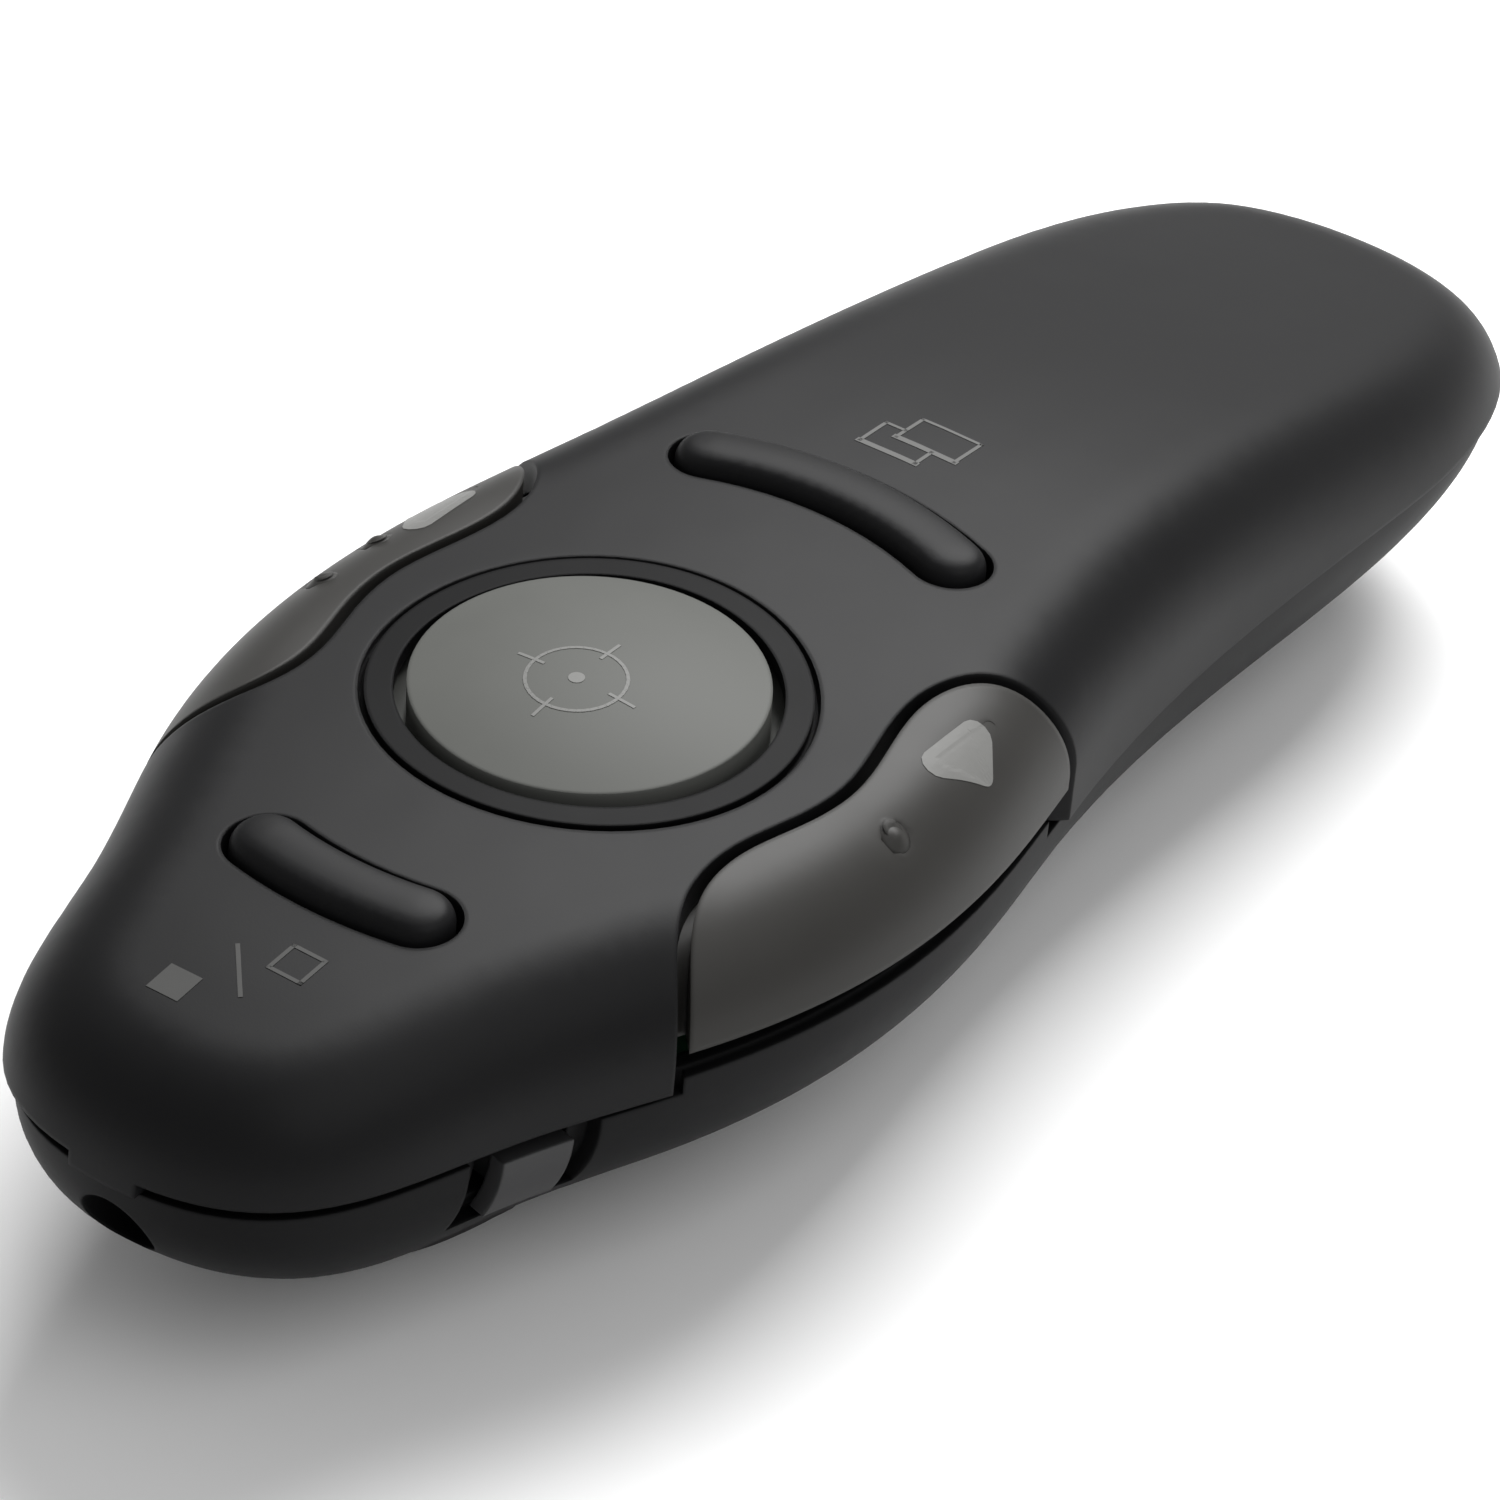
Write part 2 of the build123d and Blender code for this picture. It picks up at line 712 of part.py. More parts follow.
knob_pad = knob_block((-knob_reach, past), (-recess_half - knob_pad_wall, recess_half + knob_pad_wall),
                      (recess_low - knob_pad_wall, board_z - knob_pad_edge))
with BuildPart() as knob_recess:
    add(knob_block((-knob_reach, 2 * past), (-recess_half, recess_half), (recess_low, seam_z + past)))
    add(recess_floor, mode=Mode.SUBTRACT)
stalk_slot_half = stalk_half + knob_travel + stalk_gap
stalk_slot = knob_block((-knob_reach / 2, 0), (-stalk_slot_half, stalk_slot_half),
                        (stalk_z - stalk_half - stalk_gap, stalk_z + stalk_half + stalk_gap))

with BuildPart() as fittings:
    # battery bay with its roof and end walls
    add(box_between((-bay_half_width - bay_side_wall, bay_half_width + bay_side_wall),
                    (bay_nose_y - bay_end_wall, bay_tail_y + bay_end_wall), (0, board_z)))
    # pocket for the USB plug
    add(box_between((-plug_width / 2 - usb_gap - pocket_wall, plug_width / 2 + usb_gap + pocket_wall),
                    (pocket_y - pocket_wall, tail_y),
                    (usb_z - plug_height / 2 - usb_gap - pocket_wall,
                     usb_z + plug_height / 2 + usb_gap + pocket_wall)))
    # cradle under the laser barrel
    add(box_between((-cradle_half_width, cradle_half_width),
                    (nose_y, nose_y + barrel_from_nose + barrel_length - barrel_overhang), (0, laser_z)))
    # bosses for the case screws and posts for the board screws
    with BuildSketch(Plane.XY):
        with Locations(*case_screw_places):
            Circle(boss_radius)
    extrude(amount=join_z)
    with BuildSketch(Plane.XY):
        with Locations(*board_post_places):
            Circle(board_post_radius)
    extrude(amount=board_z)

lip_dome = dome(cover_side_wall + lip_clearance, cover_crown_wall + lip_clearance)
with BuildPart() as lip_block:
    add(lip_dome)
    add(box_between((-bulge, bulge), (nose_y, tail_y), (0, seam_z + lip_height)), mode=Mode.INTERSECT)


def door_plan(grow):
    # the gap is double at the nose end, where the edge of the door swings past
    with BuildSketch() as plan:
        with Locations((0, (door_nose_y + door_tail_y - grow) / 2)):
            RectangleRounded(2 * (door_half_width + grow), door_tail_y - door_nose_y + 3 * grow,
                             door_corner)
        with Locations((0, (hinge_edge_y + door_nose_y + hinge_leaf) / 2)):
            Rectangle(2 * (hinge_half_width + grow), door_nose_y + hinge_leaf - hinge_edge_y + 2 * grow)
    return plan.sketch


door_hole = prism(door_plan(door_gap), -past, swing_clear_z)
bay_space = box_between((-bay_half_width, bay_half_width), (bay_nose_y, bay_tail_y),
                        (door_wall, bay_roof_z))
plug_space = box_between((-plug_width / 2 - usb_gap, plug_width / 2 + usb_gap), (pocket_y, tail_y + past),
                         (usb_z - plug_height / 2 - usb_gap, usb_z + plug_height / 2 + usb_gap))
cap_space = box_between((-cap_width / 2 - usb_gap, cap_width / 2 + usb_gap), (cap_y - usb_gap, tail_y + past),
                        (usb_z - cap_height / 2 - usb_gap, usb_z + cap_height / 2 + usb_gap))

with BuildPart() as hinge_blocks:
    for side in (-1, 1):
        add(box_between(sorted((side * (hinge_half_width + door_gap),
                                side * (hinge_half_width + door_gap + hinge_pin_length + hinge_wall))),
                        (hinge_y - hinge_block_half, hinge_y + hinge_block_half),
                        (hinge_block_low, pin_block_top)))

with BuildPart() as knob_wall:
    add(knob_pad)
    add(pad_back, mode=Mode.SUBTRACT)
with BuildPart() as case_space:
    # the hollow of the case, without what stands in it
    add(case_cavity)
    add([fittings.part, knob_wall.part], mode=Mode.SUBTRACT)

with BuildPart() as case_cuts:
    add(bay_space)
    add(hinge_blocks.part, mode=Mode.SUBTRACT)
    add([stalk_slot, door_hole, plug_space, cap_space])
    # screw wells and screw holes
    with BuildSketch(Plane.XY.offset(-past)):
        with Locations(*case_screw_places):
            Circle(well_radius)
    extrude(amount=case_seat_z + past)
    with BuildSketch(Plane.XY):
        with Locations(*case_screw_places):
            Circle(case_screw_radius + screw_fit)
    extrude(amount=seam_z)
    with BuildSketch(Plane.XY.offset(board_z - board_screw_length)):
        with Locations(*board_post_places):
            Circle(board_screw_radius + screw_fit)
    extrude(amount=board_screw_length)
    # laser: seat of the window, hole for the beam, bed of the barrel
    with BuildSketch(beam_plane):
        with Locations((0, laser_z)):
            Circle(window_radius + laser_fit)
    extrude(amount=-window_from_nose - window_thickness)
    with BuildSketch(beam_plane):
        with Locations((0, laser_z)):
            Circle(beam_radius)
    extrude(amount=-barrel_from_nose)
    with BuildSketch(beam_plane.offset(-barrel_from_nose)):
        with Locations((0, laser_z)):
            Circle(barrel_radius + laser_fit)
    extrude(amount=-barrel_length - past)
    # bores of the door hinge
    for side in (-1, 1):
        with BuildSketch(Plane.YZ.offset(side * hinge_half_width)):
            with Locations((hinge_y, hinge_height)):
                Circle(hinge_pin_radius + hinge_fit)
        extrude(amount=side * (door_gap + hinge_pin_length + hinge_end_gap))



def sill(side):
    # raised rim of the case in the opening under a side button
    with BuildPart() as block:
        add(prism(side_key_plan(side, 0), seam_z, seam_z + sill_height))
        add(prism(outline(0, case_step_side, case_step_end), seam_z, seam_z + sill_height),
            mode=Mode.INTERSECT)
    return block.part


with BuildPart() as bottom_case:
    add([case_solid, lip_block.part, sill(1), sill(-1)])
    add([case_space.part, case_cuts.part, knob_recess.part], mode=Mode.SUBTRACT)
bottom_case.part.label = "bottom_case"
export_step(bottom_case.part, "parts/bottom_case.step")

# ---- battery door ----
door_prism = prism(door_plan(0), -past, swing_clear_z)
rib_space = box_between((-door_rib_half, door_rib_half),
                        (door_nose_y + door_rib_end, door_tail_y - latch_length - door_rib_end),
                        (0, door_wall + door_rib))
with BuildPart() as hinge_round:
    with BuildSketch(Plane.YZ):
        with Locations((hinge_edge_y - 1 + (hinge_height + 1) / 2, (hinge_height - 1) / 2)):
            Rectangle(hinge_height + 1, hinge_height + 1)
        with Locations((hinge_y, hinge_height)):
            Circle(hinge_height, mode=Mode.SUBTRACT)
    extrude(amount=reach, both=True)
with BuildPart() as battery_door:
    add(case_solid)
    add(case_cavity, mode=Mode.SUBTRACT)
    add(rib_space)
    add(door_prism, mode=Mode.INTERSECT)
    add(hinge_round.part, mode=Mode.SUBTRACT)
    for side in (-1, 1):
        with BuildSketch(Plane.YZ.offset(side * (hinge_half_width - 1))):
            with Locations((hinge_y, hinge_height)):
                Circle(hinge_pin_radius)
        extrude(amount=side * (hinge_pin_length + 1))
        add(box_between(sorted((side * latch_half_width, side * (latch_half_width + latch_slot))),
                        (door_tail_y - latch_length, door_tail_y + 1), (-1, door_wall + 1)),
            mode=Mode.SUBTRACT)
battery_door.part.label = "battery_door"
export_step(battery_door.part, "parts/battery_door.step")

# ---- cells, springs and contact plates ----
# the two cells point opposite ways; each presses a spring at its flat end
cell_starts = [(-cell_x, bay_nose_y + plate_thickness, 1),
               (cell_x, bay_nose_y + plate_thickness + spring_length, -1)]
can_length = cell_length - nub_length
with BuildPart() as battery_cells:
    for x, start, way in cell_starts:
        can_start = start + (nub_length if way > 0 else 0)
        with BuildSketch(Plane.XZ.offset(-can_start)):
            with Locations((x, cell_z)):
                Circle(cell_diameter / 2)
        extrude(amount=-can_length)
        nub_start = start if way > 0 else can_start + can_length
        with BuildSketch(Plane.XZ.offset(-nub_start)):
            with Locations((x, cell_z)):
                Circle(nub_diameter / 2)
        extrude(amount=-nub_length)
battery_cells.part.label = "battery_cells"
export_step(battery_cells.part, "parts/battery_cells.step")

plate_low = cell_z - plate_height / 2
with BuildPart() as contact_plates:
    for x in (-cell_x, cell_x):
        add(box_between((x - plate_width / 2, x + plate_width / 2),
                        (bay_nose_y, bay_nose_y + plate_thickness), (plate_low, plate_low + plate_height)))
    add(box_between((-cell_x - plate_width / 2, cell_x + plate_width / 2),
                    (bay_tail_y - plate_thickness, bay_tail_y), (plate_low, plate_low + plate_height)))
contact_plates.part.label = "contact_plates"
export_step(contact_plates.part, "parts/contact_plates.step")

# one spring at the tail for the left cell, one at the nose for the right cell
coil_length = spring_length - spring_wire - 2 * spring_gap
coil_starts = [(-cell_x, bay_tail_y - plate_thickness - spring_length + spring_wire / 2 + spring_gap),
               (cell_x, bay_nose_y + plate_thickness + spring_wire / 2 + spring_gap)]


def coil(x, start):
    with BuildPart() as wire:
        with BuildLine() as path:
            Helix(coil_length / spring_turns, coil_length, spring_radius, center=(x, start, cell_z),
                  direction=(0, 1, 0))
        with BuildSketch(Plane(path.line @ 0, z_dir=path.line % 0)):
            Circle(spring_wire / 2)
        sweep(path=path.line, is_frenet=True)
    return wire.part


coils = [coil(x, start) for x, start in coil_starts]
with BuildPart() as battery_springs:
    for turn in coils:
        add(turn)
battery_springs.part.label = "battery_springs"
export_step(battery_springs.part, "parts/battery_springs.step")

# ---- main board with what is soldered to it ----
board_tail_y = nose_y + board_tail_cut
board_window = box_between((-bulge, bulge), (nose_y + board_nose_gap, board_tail_y),
                           (board_z - past, board_top + past))
with BuildPart() as main_board:
    with BuildSketch(Plane.XY.offset(board_z)):
        add(outline(board_inset))
        with Locations(*case_screw_places):
            Circle(post_radius + board_hole_gap, mode=Mode.SUBTRACT)
        with Locations(*board_post_places):
            Circle(board_screw_radius + board_screw_gap, mode=Mode.SUBTRACT)
    extrude(amount=board_thickness)
    add(board_window, mode=Mode.INTERSECT)
main_board.part.label = "main_board"
export_step(main_board.part, "parts/main_board.step")

with BuildPart() as tact_switches:
    with BuildSketch(Plane.XY.offset(board_top)):
        with Locations(*switch_places):
            Rectangle(switch_side, switch_side)
    extrude(amount=switch_height)
    with BuildSketch(Plane.XY.offset(stem_top - stem_proud - stem_root - press_travel - stem_end_gap)):
        with Locations(*switch_places):
            Circle(stem_radius + stem_hole_gap)
    extrude(amount=switch_height, mode=Mode.SUBTRACT)
    chamfer(tact_switches.edges().filter_by(Axis.Z).group_by(SortBy.LENGTH)[-1], switch_corner)
tact_switches.part.label = "tact_switches"
export_step(tact_switches.part, "parts/tact_switches.step")

stem_names = ["laser_stem", "window_stem", "blank_stem", "back_stem", "next_stem"]
for name, place in zip(stem_names, switch_places):
    pin = stem(place)
    pin.label = name
    export_step(pin, "parts/" + name + ".step")

with BuildPart() as radio_chip:
    with BuildSketch(Plane.XY.offset(board_top)):
        with Locations((0, button_y + chip_along)):
            Rectangle(chip_side, chip_side)
    extrude(amount=chip_height)
    chamfer(radio_chip.edges().filter_by(Axis.Z).sort_by(Axis.X)[:1], chip_corner)
radio_chip.part.label = "radio_chip"
export_step(radio_chip.part, "parts/radio_chip.step")

with BuildPart() as crystal:
    with BuildSketch(Plane.XY.offset(board_top)):
        with Locations((0, button_y + crystal_along)):
            RectangleRounded(*crystal_size, crystal_corner)
    extrude(amount=crystal_height)
    with BuildSketch(Plane.XY.offset(board_top + crystal_height)):
        with Locations((0, button_y + crystal_along)):
            RectangleRounded(*crystal_lid_size, crystal_corner)
    extrude(amount=crystal_lid)
crystal.part.label = "crystal"
export_step(crystal.part, "parts/crystal.step")

with BuildPart() as board_parts:
    with BuildSketch(Plane.XY.offset(board_top)):
        with Locations(*[(x, button_y + along) for x, along in small_parts]):
            Rectangle(*small_part_size)
    extrude(amount=small_part_height)
board_parts.part.label = "board_parts"
export_step(board_parts.part, "parts/board_parts.step")

# ---- screws ----
def screws(places, seat, direction, radius, shank, head_radius, head_height):
    # pan head screws with a cross recess; the shank runs along direction (1 up, -1 down)
    with BuildPart() as group:
        with BuildSketch(Plane.XY.offset(seat)):
            with Locations(*places):
                Circle(radius)
        extrude(amount=direction * shank)
        with BuildSketch(Plane.XY.offset(seat)):
            with Locations(*places):
                Circle(head_radius)
        extrude(amount=-direction * head_height)
        with BuildSketch(Plane.XY.offset(seat - direction * head_height)):
            with Locations(*places):
                Rectangle(head_radius * cross_length, head_radius * cross_width)
                Rectangle(head_radius * cross_width, head_radius * cross_length)
        extrude(amount=direction * head_height * cross_depth, mode=Mode.SUBTRACT)
    return group


case_screws = screws(case_screw_places, case_seat_z, 1, case_screw_radius,
                     join_z + case_screw_bite - case_seat_z, case_head_radius, case_head_height)
case_screws.part.label = "case_screws"
export_step(case_screws.part, "parts/case_screws.step")

board_screws = screws(board_post_places, board_top, -1, board_screw_radius,
                      board_thickness + board_screw_length - board_screw_end_gap, board_head_radius,
                      board_head_height)
board_screws.part.label = "board_screws"
export_step(board_screws.part, "parts/board_screws.step")

# ---- laser module ----
barrel_y = nose_y + barrel_from_nose
barrel_plane = Plane.XZ.offset(-barrel_y)
with BuildPart() as laser_window:
    with BuildSketch(Plane.XZ.offset(-nose_y - window_from_nose)):
        with Locations((0, laser_z)):
            Circle(window_radius)
    extrude(amount=-window_thickness)
laser_window.part.label = "laser_window"
export_step(laser_window.part, "parts/laser_window.step")

with BuildPart() as laser_barrel:
    with BuildSketch(barrel_plane):
        with Locations((0, laser_z)):
            Circle(barrel_radius)
            Circle(barrel_bore, mode=Mode.SUBTRACT)
    extrude(amount=-barrel_length)
    with BuildSketch(barrel_plane.offset(-barrel_length)):
        with Locations((0, laser_z)):
            Circle(diode_flange_radius + laser_fit)
    extrude(amount=diode_flange, mode=Mode.SUBTRACT)
laser_barrel.part.label = "laser_barrel"
export_step(laser_barrel.part, "parts/laser_barrel.step")

with BuildPart() as laser_lens:
    with BuildSketch(barrel_plane.offset(-lens_set_back)):
        with Locations((0, laser_z)):
            Circle(barrel_bore - laser_fit)
    extrude(amount=-lens_thickness)
    chamfer(laser_lens.edges(), lens_edge)
laser_lens.part.label = "laser_lens"
export_step(laser_lens.part, "parts/laser_lens.step")

barrel_end_y = barrel_y + barrel_length
with BuildPart() as laser_diode:
    with BuildSketch(Plane.XZ.offset(-barrel_end_y)):
        with Locations((0, laser_z)):
            Circle(diode_flange_radius)
    extrude(amount=diode_flange)
    with BuildSketch(Plane.XZ.offset(-barrel_end_y + diode_flange)):
        with Locations((0, laser_z)):
            Circle(barrel_bore - laser_fit)
    extrude(amount=diode_can_length)
    with BuildSketch(Plane.XZ.offset(-barrel_end_y)):
        with Locations((-pin_circle, laser_z), (pin_circle, laser_z), (0, laser_z + pin_circle)):
            Circle(pin_radius)
    extrude(amount=-pin_length)
laser_diode.part.label = "laser_diode"
export_step(laser_diode.part, "parts/laser_diode.step")

# small upright board that joins the pins of the diode to the main board
with BuildPart() as driver_board:
    with BuildSketch(Plane.XZ.offset(-barrel_end_y - driver_board_gap)):
        with Locations((0, board_z - driver_board_drop / 2)):
            Rectangle(2 * driver_board_half_width, driver_board_drop)
        with Locations((-pin_circle, laser_z), (pin_circle, laser_z), (0, laser_z + pin_circle)):
            Circle(pin_radius + pin_gap, mode=Mode.SUBTRACT)
    extrude(amount=-driver_board_thickness)
driver_board.part.label = "driver_board"
export_step(driver_board.part, "parts/driver_board.step")

# ---- power switch: knob in the side wall, slide switch hung under the board ----
switch_front = -slide_switch_set_back
switch_back = switch_front - slide_switch_depth
stalk_end = switch_front + stalk_overlap
lever_end = stalk_end + lever_grip
lever_half = lever_side / 2
stalk = knob_block((stalk_end, -recess_depth), (-stalk_half, stalk_half),
                   (stalk_z - stalk_half, stalk_z + stalk_half))
lever_pocket = knob_block((stalk_end - past, lever_end + lever_fit),
                          (-lever_half - lever_fit, lever_half + lever_fit),
                          (stalk_z - lever_half - lever_fit, stalk_z + lever_half + lever_fit))
with BuildPart() as power_knob:
    add(knob_block((-knob_reach / 2, 2 * past), (-knob_length / 2, knob_length / 2),
                   (seam_z + knob_top - knob_height, seam_z + knob_top)))
    add(case_skin_out, mode=Mode.INTERSECT)
    add(knob_back, mode=Mode.SUBTRACT)
    add(stalk)
    add(lever_pocket, mode=Mode.SUBTRACT)
power_knob.part.label = "power_knob"
export_step(power_knob.part, "parts/power_knob.step")

with BuildPart() as slide_lever:
    add(knob_block((switch_front - lever_root, lever_end), (-lever_half, lever_half),
                   (stalk_z - lever_half, stalk_z + lever_half)))
slide_lever.part.label = "slide_lever"
export_step(slide_lever.part, "parts/slide_lever.step")

with BuildPart() as slide_switch:
    add(knob_block((switch_back, switch_front), (-slide_switch_length / 2, slide_switch_length / 2),
                   (board_z - slide_switch_height, board_z)))
    add(knob_block((switch_front - lever_root - lever_slot_end, switch_front + past),
                   (-lever_half - knob_travel - stalk_gap, lever_half + knob_travel + stalk_gap),
                   (stalk_z - lever_half - switch_slot_gap, stalk_z + lever_half + switch_slot_gap)),
        mode=Mode.SUBTRACT)
slide_switch.part.label = "slide_switch"
export_step(slide_switch.part, "parts/slide_switch.step")

# ---- USB receiver ----
plug_y = cap_y - plug_length
with BuildPart() as usb_shell:
    with BuildSketch(Plane.XZ.offset(-plug_y)):
        with Locations((0, usb_z)):
            Rectangle(plug_width, plug_height)
            Rectangle(plug_width - 2 * plug_metal, plug_height - 2 * plug_metal, mode=Mode.SUBTRACT)
    extrude(amount=-plug_length)
    with BuildSketch(Plane.XY.offset(usb_z)):
        with Locations((-plug_hole_x, plug_y + plug_hole_in), (plug_hole_x, plug_y + plug_hole_in)):
            Rectangle(*plug_hole_size)
    extrude(amount=reach, mode=Mode.SUBTRACT)
usb_shell.part.label = "usb_shell"
export_step(usb_shell.part, "parts/usb_shell.step")

tongue_low = usb_z - plug_height / 2 + plug_metal
with BuildPart() as usb_tongue:
    add(box_between((-plug_width / 2 + plug_metal + plug_fit, plug_width / 2 - plug_metal - plug_fit),
                    (plug_y + plug_mouth, cap_y), (tongue_low, tongue_low + tongue_thickness)))
usb_tongue.part.label = "usb_tongue"
export_step(usb_tongue.part, "parts/usb_tongue.step")

with BuildPart() as usb_contacts:
    for x in contact_places:
        add(box_between((x - contact_half, x + contact_half), (plug_y + contact_in, cap_y - contact_back),
                        (tongue_low + tongue_thickness, tongue_low + tongue_thickness + contact_rise)))
usb_contacts.part.label = "usb_contacts"
export_step(usb_contacts.part, "parts/usb_contacts.step")

with BuildPart() as usb_cap:
    add(box_between((-cap_width / 2, cap_width / 2), (cap_y, tail_y + past),
                    (usb_z - cap_height / 2, usb_z + cap_height / 2)))
    add(case_solid, mode=Mode.INTERSECT)
usb_cap.part.label = "usb_cap"
export_step(usb_cap.part, "parts/usb_cap.step")
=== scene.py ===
import json
import math
import bmesh
import bpy
import numpy as np
from mathutils import Matrix, Vector
from mathutils.bvhtree import BVHTree
from mathutils.kdtree import KDTree


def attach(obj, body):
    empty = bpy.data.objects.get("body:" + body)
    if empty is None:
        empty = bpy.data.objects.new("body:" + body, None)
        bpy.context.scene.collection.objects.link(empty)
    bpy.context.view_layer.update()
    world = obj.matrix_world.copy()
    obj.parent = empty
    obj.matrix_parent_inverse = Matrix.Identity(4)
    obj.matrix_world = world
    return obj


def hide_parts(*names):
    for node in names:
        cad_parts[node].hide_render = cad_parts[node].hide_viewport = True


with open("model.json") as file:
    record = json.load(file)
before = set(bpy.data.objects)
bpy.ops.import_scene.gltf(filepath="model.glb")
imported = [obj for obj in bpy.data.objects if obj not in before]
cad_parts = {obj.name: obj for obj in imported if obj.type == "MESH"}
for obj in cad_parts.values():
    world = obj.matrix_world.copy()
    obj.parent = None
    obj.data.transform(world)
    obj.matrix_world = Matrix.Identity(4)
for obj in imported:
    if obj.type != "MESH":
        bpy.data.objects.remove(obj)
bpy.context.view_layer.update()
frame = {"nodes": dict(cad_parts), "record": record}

# Dresses the clicker: finishes for the CAD shells, printed marks, a studio and a camera.
# Lengths are in metres, as in the frame; mm turns a millimetre into metres.
mm = 0.001
print("frame loaded:", len(frame["nodes"]), "nodes")


view = {
    "aimPoint": (0.0, -21.5, 23.0),      # middle of the round button, mm
    "aimPixel": (589.3, 692.9),          # where that point falls in the 1500 x 1500 frame
    "azimuth": 33.94, "elevation": 33.67, "roll": 4.74,   # degrees
    "distance": 367.2,                   # mm
    "focalPixels": 7000.0,
}
frameSize = 1500.0       # pixels
sensorWidth = 36.0       # mm
nearClip = 0.01          # metres


def makeCamera(v):
    az, el, roll = (math.radians(v[k]) for k in ("azimuth", "elevation", "roll"))
    back = Vector((math.sin(az) * math.cos(el), -math.cos(az) * math.cos(el), math.sin(el)))
    level = Vector((math.cos(az), math.sin(az), 0.0))
    up = back.cross(level)
    right = math.cos(roll) * level + math.sin(roll) * up
    top = math.cos(roll) * up - math.sin(roll) * level
    half = frameSize / 2
    across = (half - v["aimPixel"][0]) / v["focalPixels"]
    down = (half - v["aimPixel"][1]) / v["focalPixels"]
    axisZ = (back - right * across + top * down).normalized()
    axisX = top.cross(axisZ).normalized()
    axisY = axisZ.cross(axisX)
    camData = bpy.data.cameras.new("mainCamera")
    camData.sensor_width = sensorWidth
    camData.sensor_fit = "HORIZONTAL"
    camData.lens = v["focalPixels"] / frameSize * sensorWidth
    camData.clip_start = nearClip
    camera = bpy.data.objects.new("mainCamera", camData)
    bpy.context.scene.collection.objects.link(camera)
    place = Vector(v["aimPoint"]) * mm + back * v["distance"] * mm
    turn = Matrix((axisX, axisY, axisZ)).transposed()
    camera.matrix_world = Matrix.Translation(place) @ turn.to_4x4()
    bpy.context.scene.camera = camera


makeCamera(view)


def hexColor(text):
    # sRGB hex to linear RGBA
    parts = [int(text[i:i + 2], 16) / 255 for i in (1, 3, 5)]
    return tuple(c / 12.92 if c <= 0.04045 else ((c + 0.055) / 1.055) ** 2.4 for c in parts) + (1.0,)


def addNode(tree, kind, settings=None, links=None):
    node = tree.nodes.new(kind)
    for key, value in (settings or {}).items():
        if key in node.inputs:
            node.inputs[key].default_value = value
        else:
            setattr(node, key, value)
    for key, source in (links or {}).items():
        tree.links.new(source, node.inputs[key])
    return node


def newMaterial(name):
    material = bpy.data.materials.new(name)
    material.use_nodes = True
    tree = material.node_tree
    tree.nodes.clear()
    output = addNode(tree, "ShaderNodeOutputMaterial")
    shader = addNode(tree, "ShaderNodeBsdfPrincipled")
    tree.links.new(shader.outputs["BSDF"], output.inputs["Surface"])
    coords = addNode(tree, "ShaderNodeTexCoord")
    return material, tree, shader, coords.outputs["Object"]


plastic = {"ior": 1.5, "specular": 0.5, "coatRough": 0.25}       # where a finish doesn't say


def mouldedPlastic(name, look):
    # Plastic out of a tool: an even colour that drifts a little, a spark-eroded grain in the bump,
    # and edges that catch the light because no moulded edge is sharp.
    material, tree, shader, place = newMaterial(name)
    drift = addNode(tree, "ShaderNodeTexNoise", {"Scale": 1 / (look["driftMm"] * mm), "Detail": 3.0},
                    {"Vector": place})
    tint = addNode(tree, "ShaderNodeMix", {"data_type": "RGBA"}, {"Factor": drift.outputs["Fac"]})
    tint.inputs[6].default_value = hexColor(look["dark"])
    tint.inputs[7].default_value = hexColor(look["light"])
    tree.links.new(tint.outputs[2], shader.inputs["Base Color"])
    rough = addNode(tree, "ShaderNodeMapRange", {"To Min": look["rough"][0], "To Max": look["rough"][1]},
                    {"Value": drift.outputs["Fac"]})
    tree.links.new(rough.outputs["Result"], shader.inputs["Roughness"])
    grain = addNode(tree, "ShaderNodeTexNoise", {"Scale": 1 / (look["grainMm"] * mm), "Detail": 2.0},
                    {"Vector": place})
    rounded = addNode(tree, "ShaderNodeBevel", {"samples": 4, "Radius": look["edgeMm"] * mm})
    bump = addNode(tree, "ShaderNodeBump", {"Strength": look["grain"], "Distance": look["grainDeepMm"] * mm},
                   {"Height": grain.outputs["Fac"], "Normal": rounded.outputs["Normal"]})
    tree.links.new(bump.outputs["Normal"], shader.inputs["Normal"])
    shader.inputs["IOR"].default_value = plastic["ior"]
    shader.inputs["Specular IOR Level"].default_value = look.get("specular", plastic["specular"])
    if "coat" in look:
        shader.inputs["Coat Weight"].default_value = look["coat"]
        shader.inputs["Coat Roughness"].default_value = plastic["coatRough"]
    return material


def metal(name, look):
    # Plated or turned metal: coloured reflection, fine lathe or rolling marks
    material, tree, shader, place = newMaterial(name)
    shader.inputs["Metallic"].default_value = 1.0
    shader.inputs["Base Color"].default_value = hexColor(look["color"])
    marks = addNode(tree, "ShaderNodeTexNoise", {"Scale": 1 / (look["markMm"] * mm), "Detail": 2.0},
                    {"Vector": place})
    rough = addNode(tree, "ShaderNodeMapRange", {"To Min": look["rough"][0], "To Max": look["rough"][1]},
                    {"Value": marks.outputs["Fac"]})
    tree.links.new(rough.outputs["Result"], shader.inputs["Roughness"])
    return material


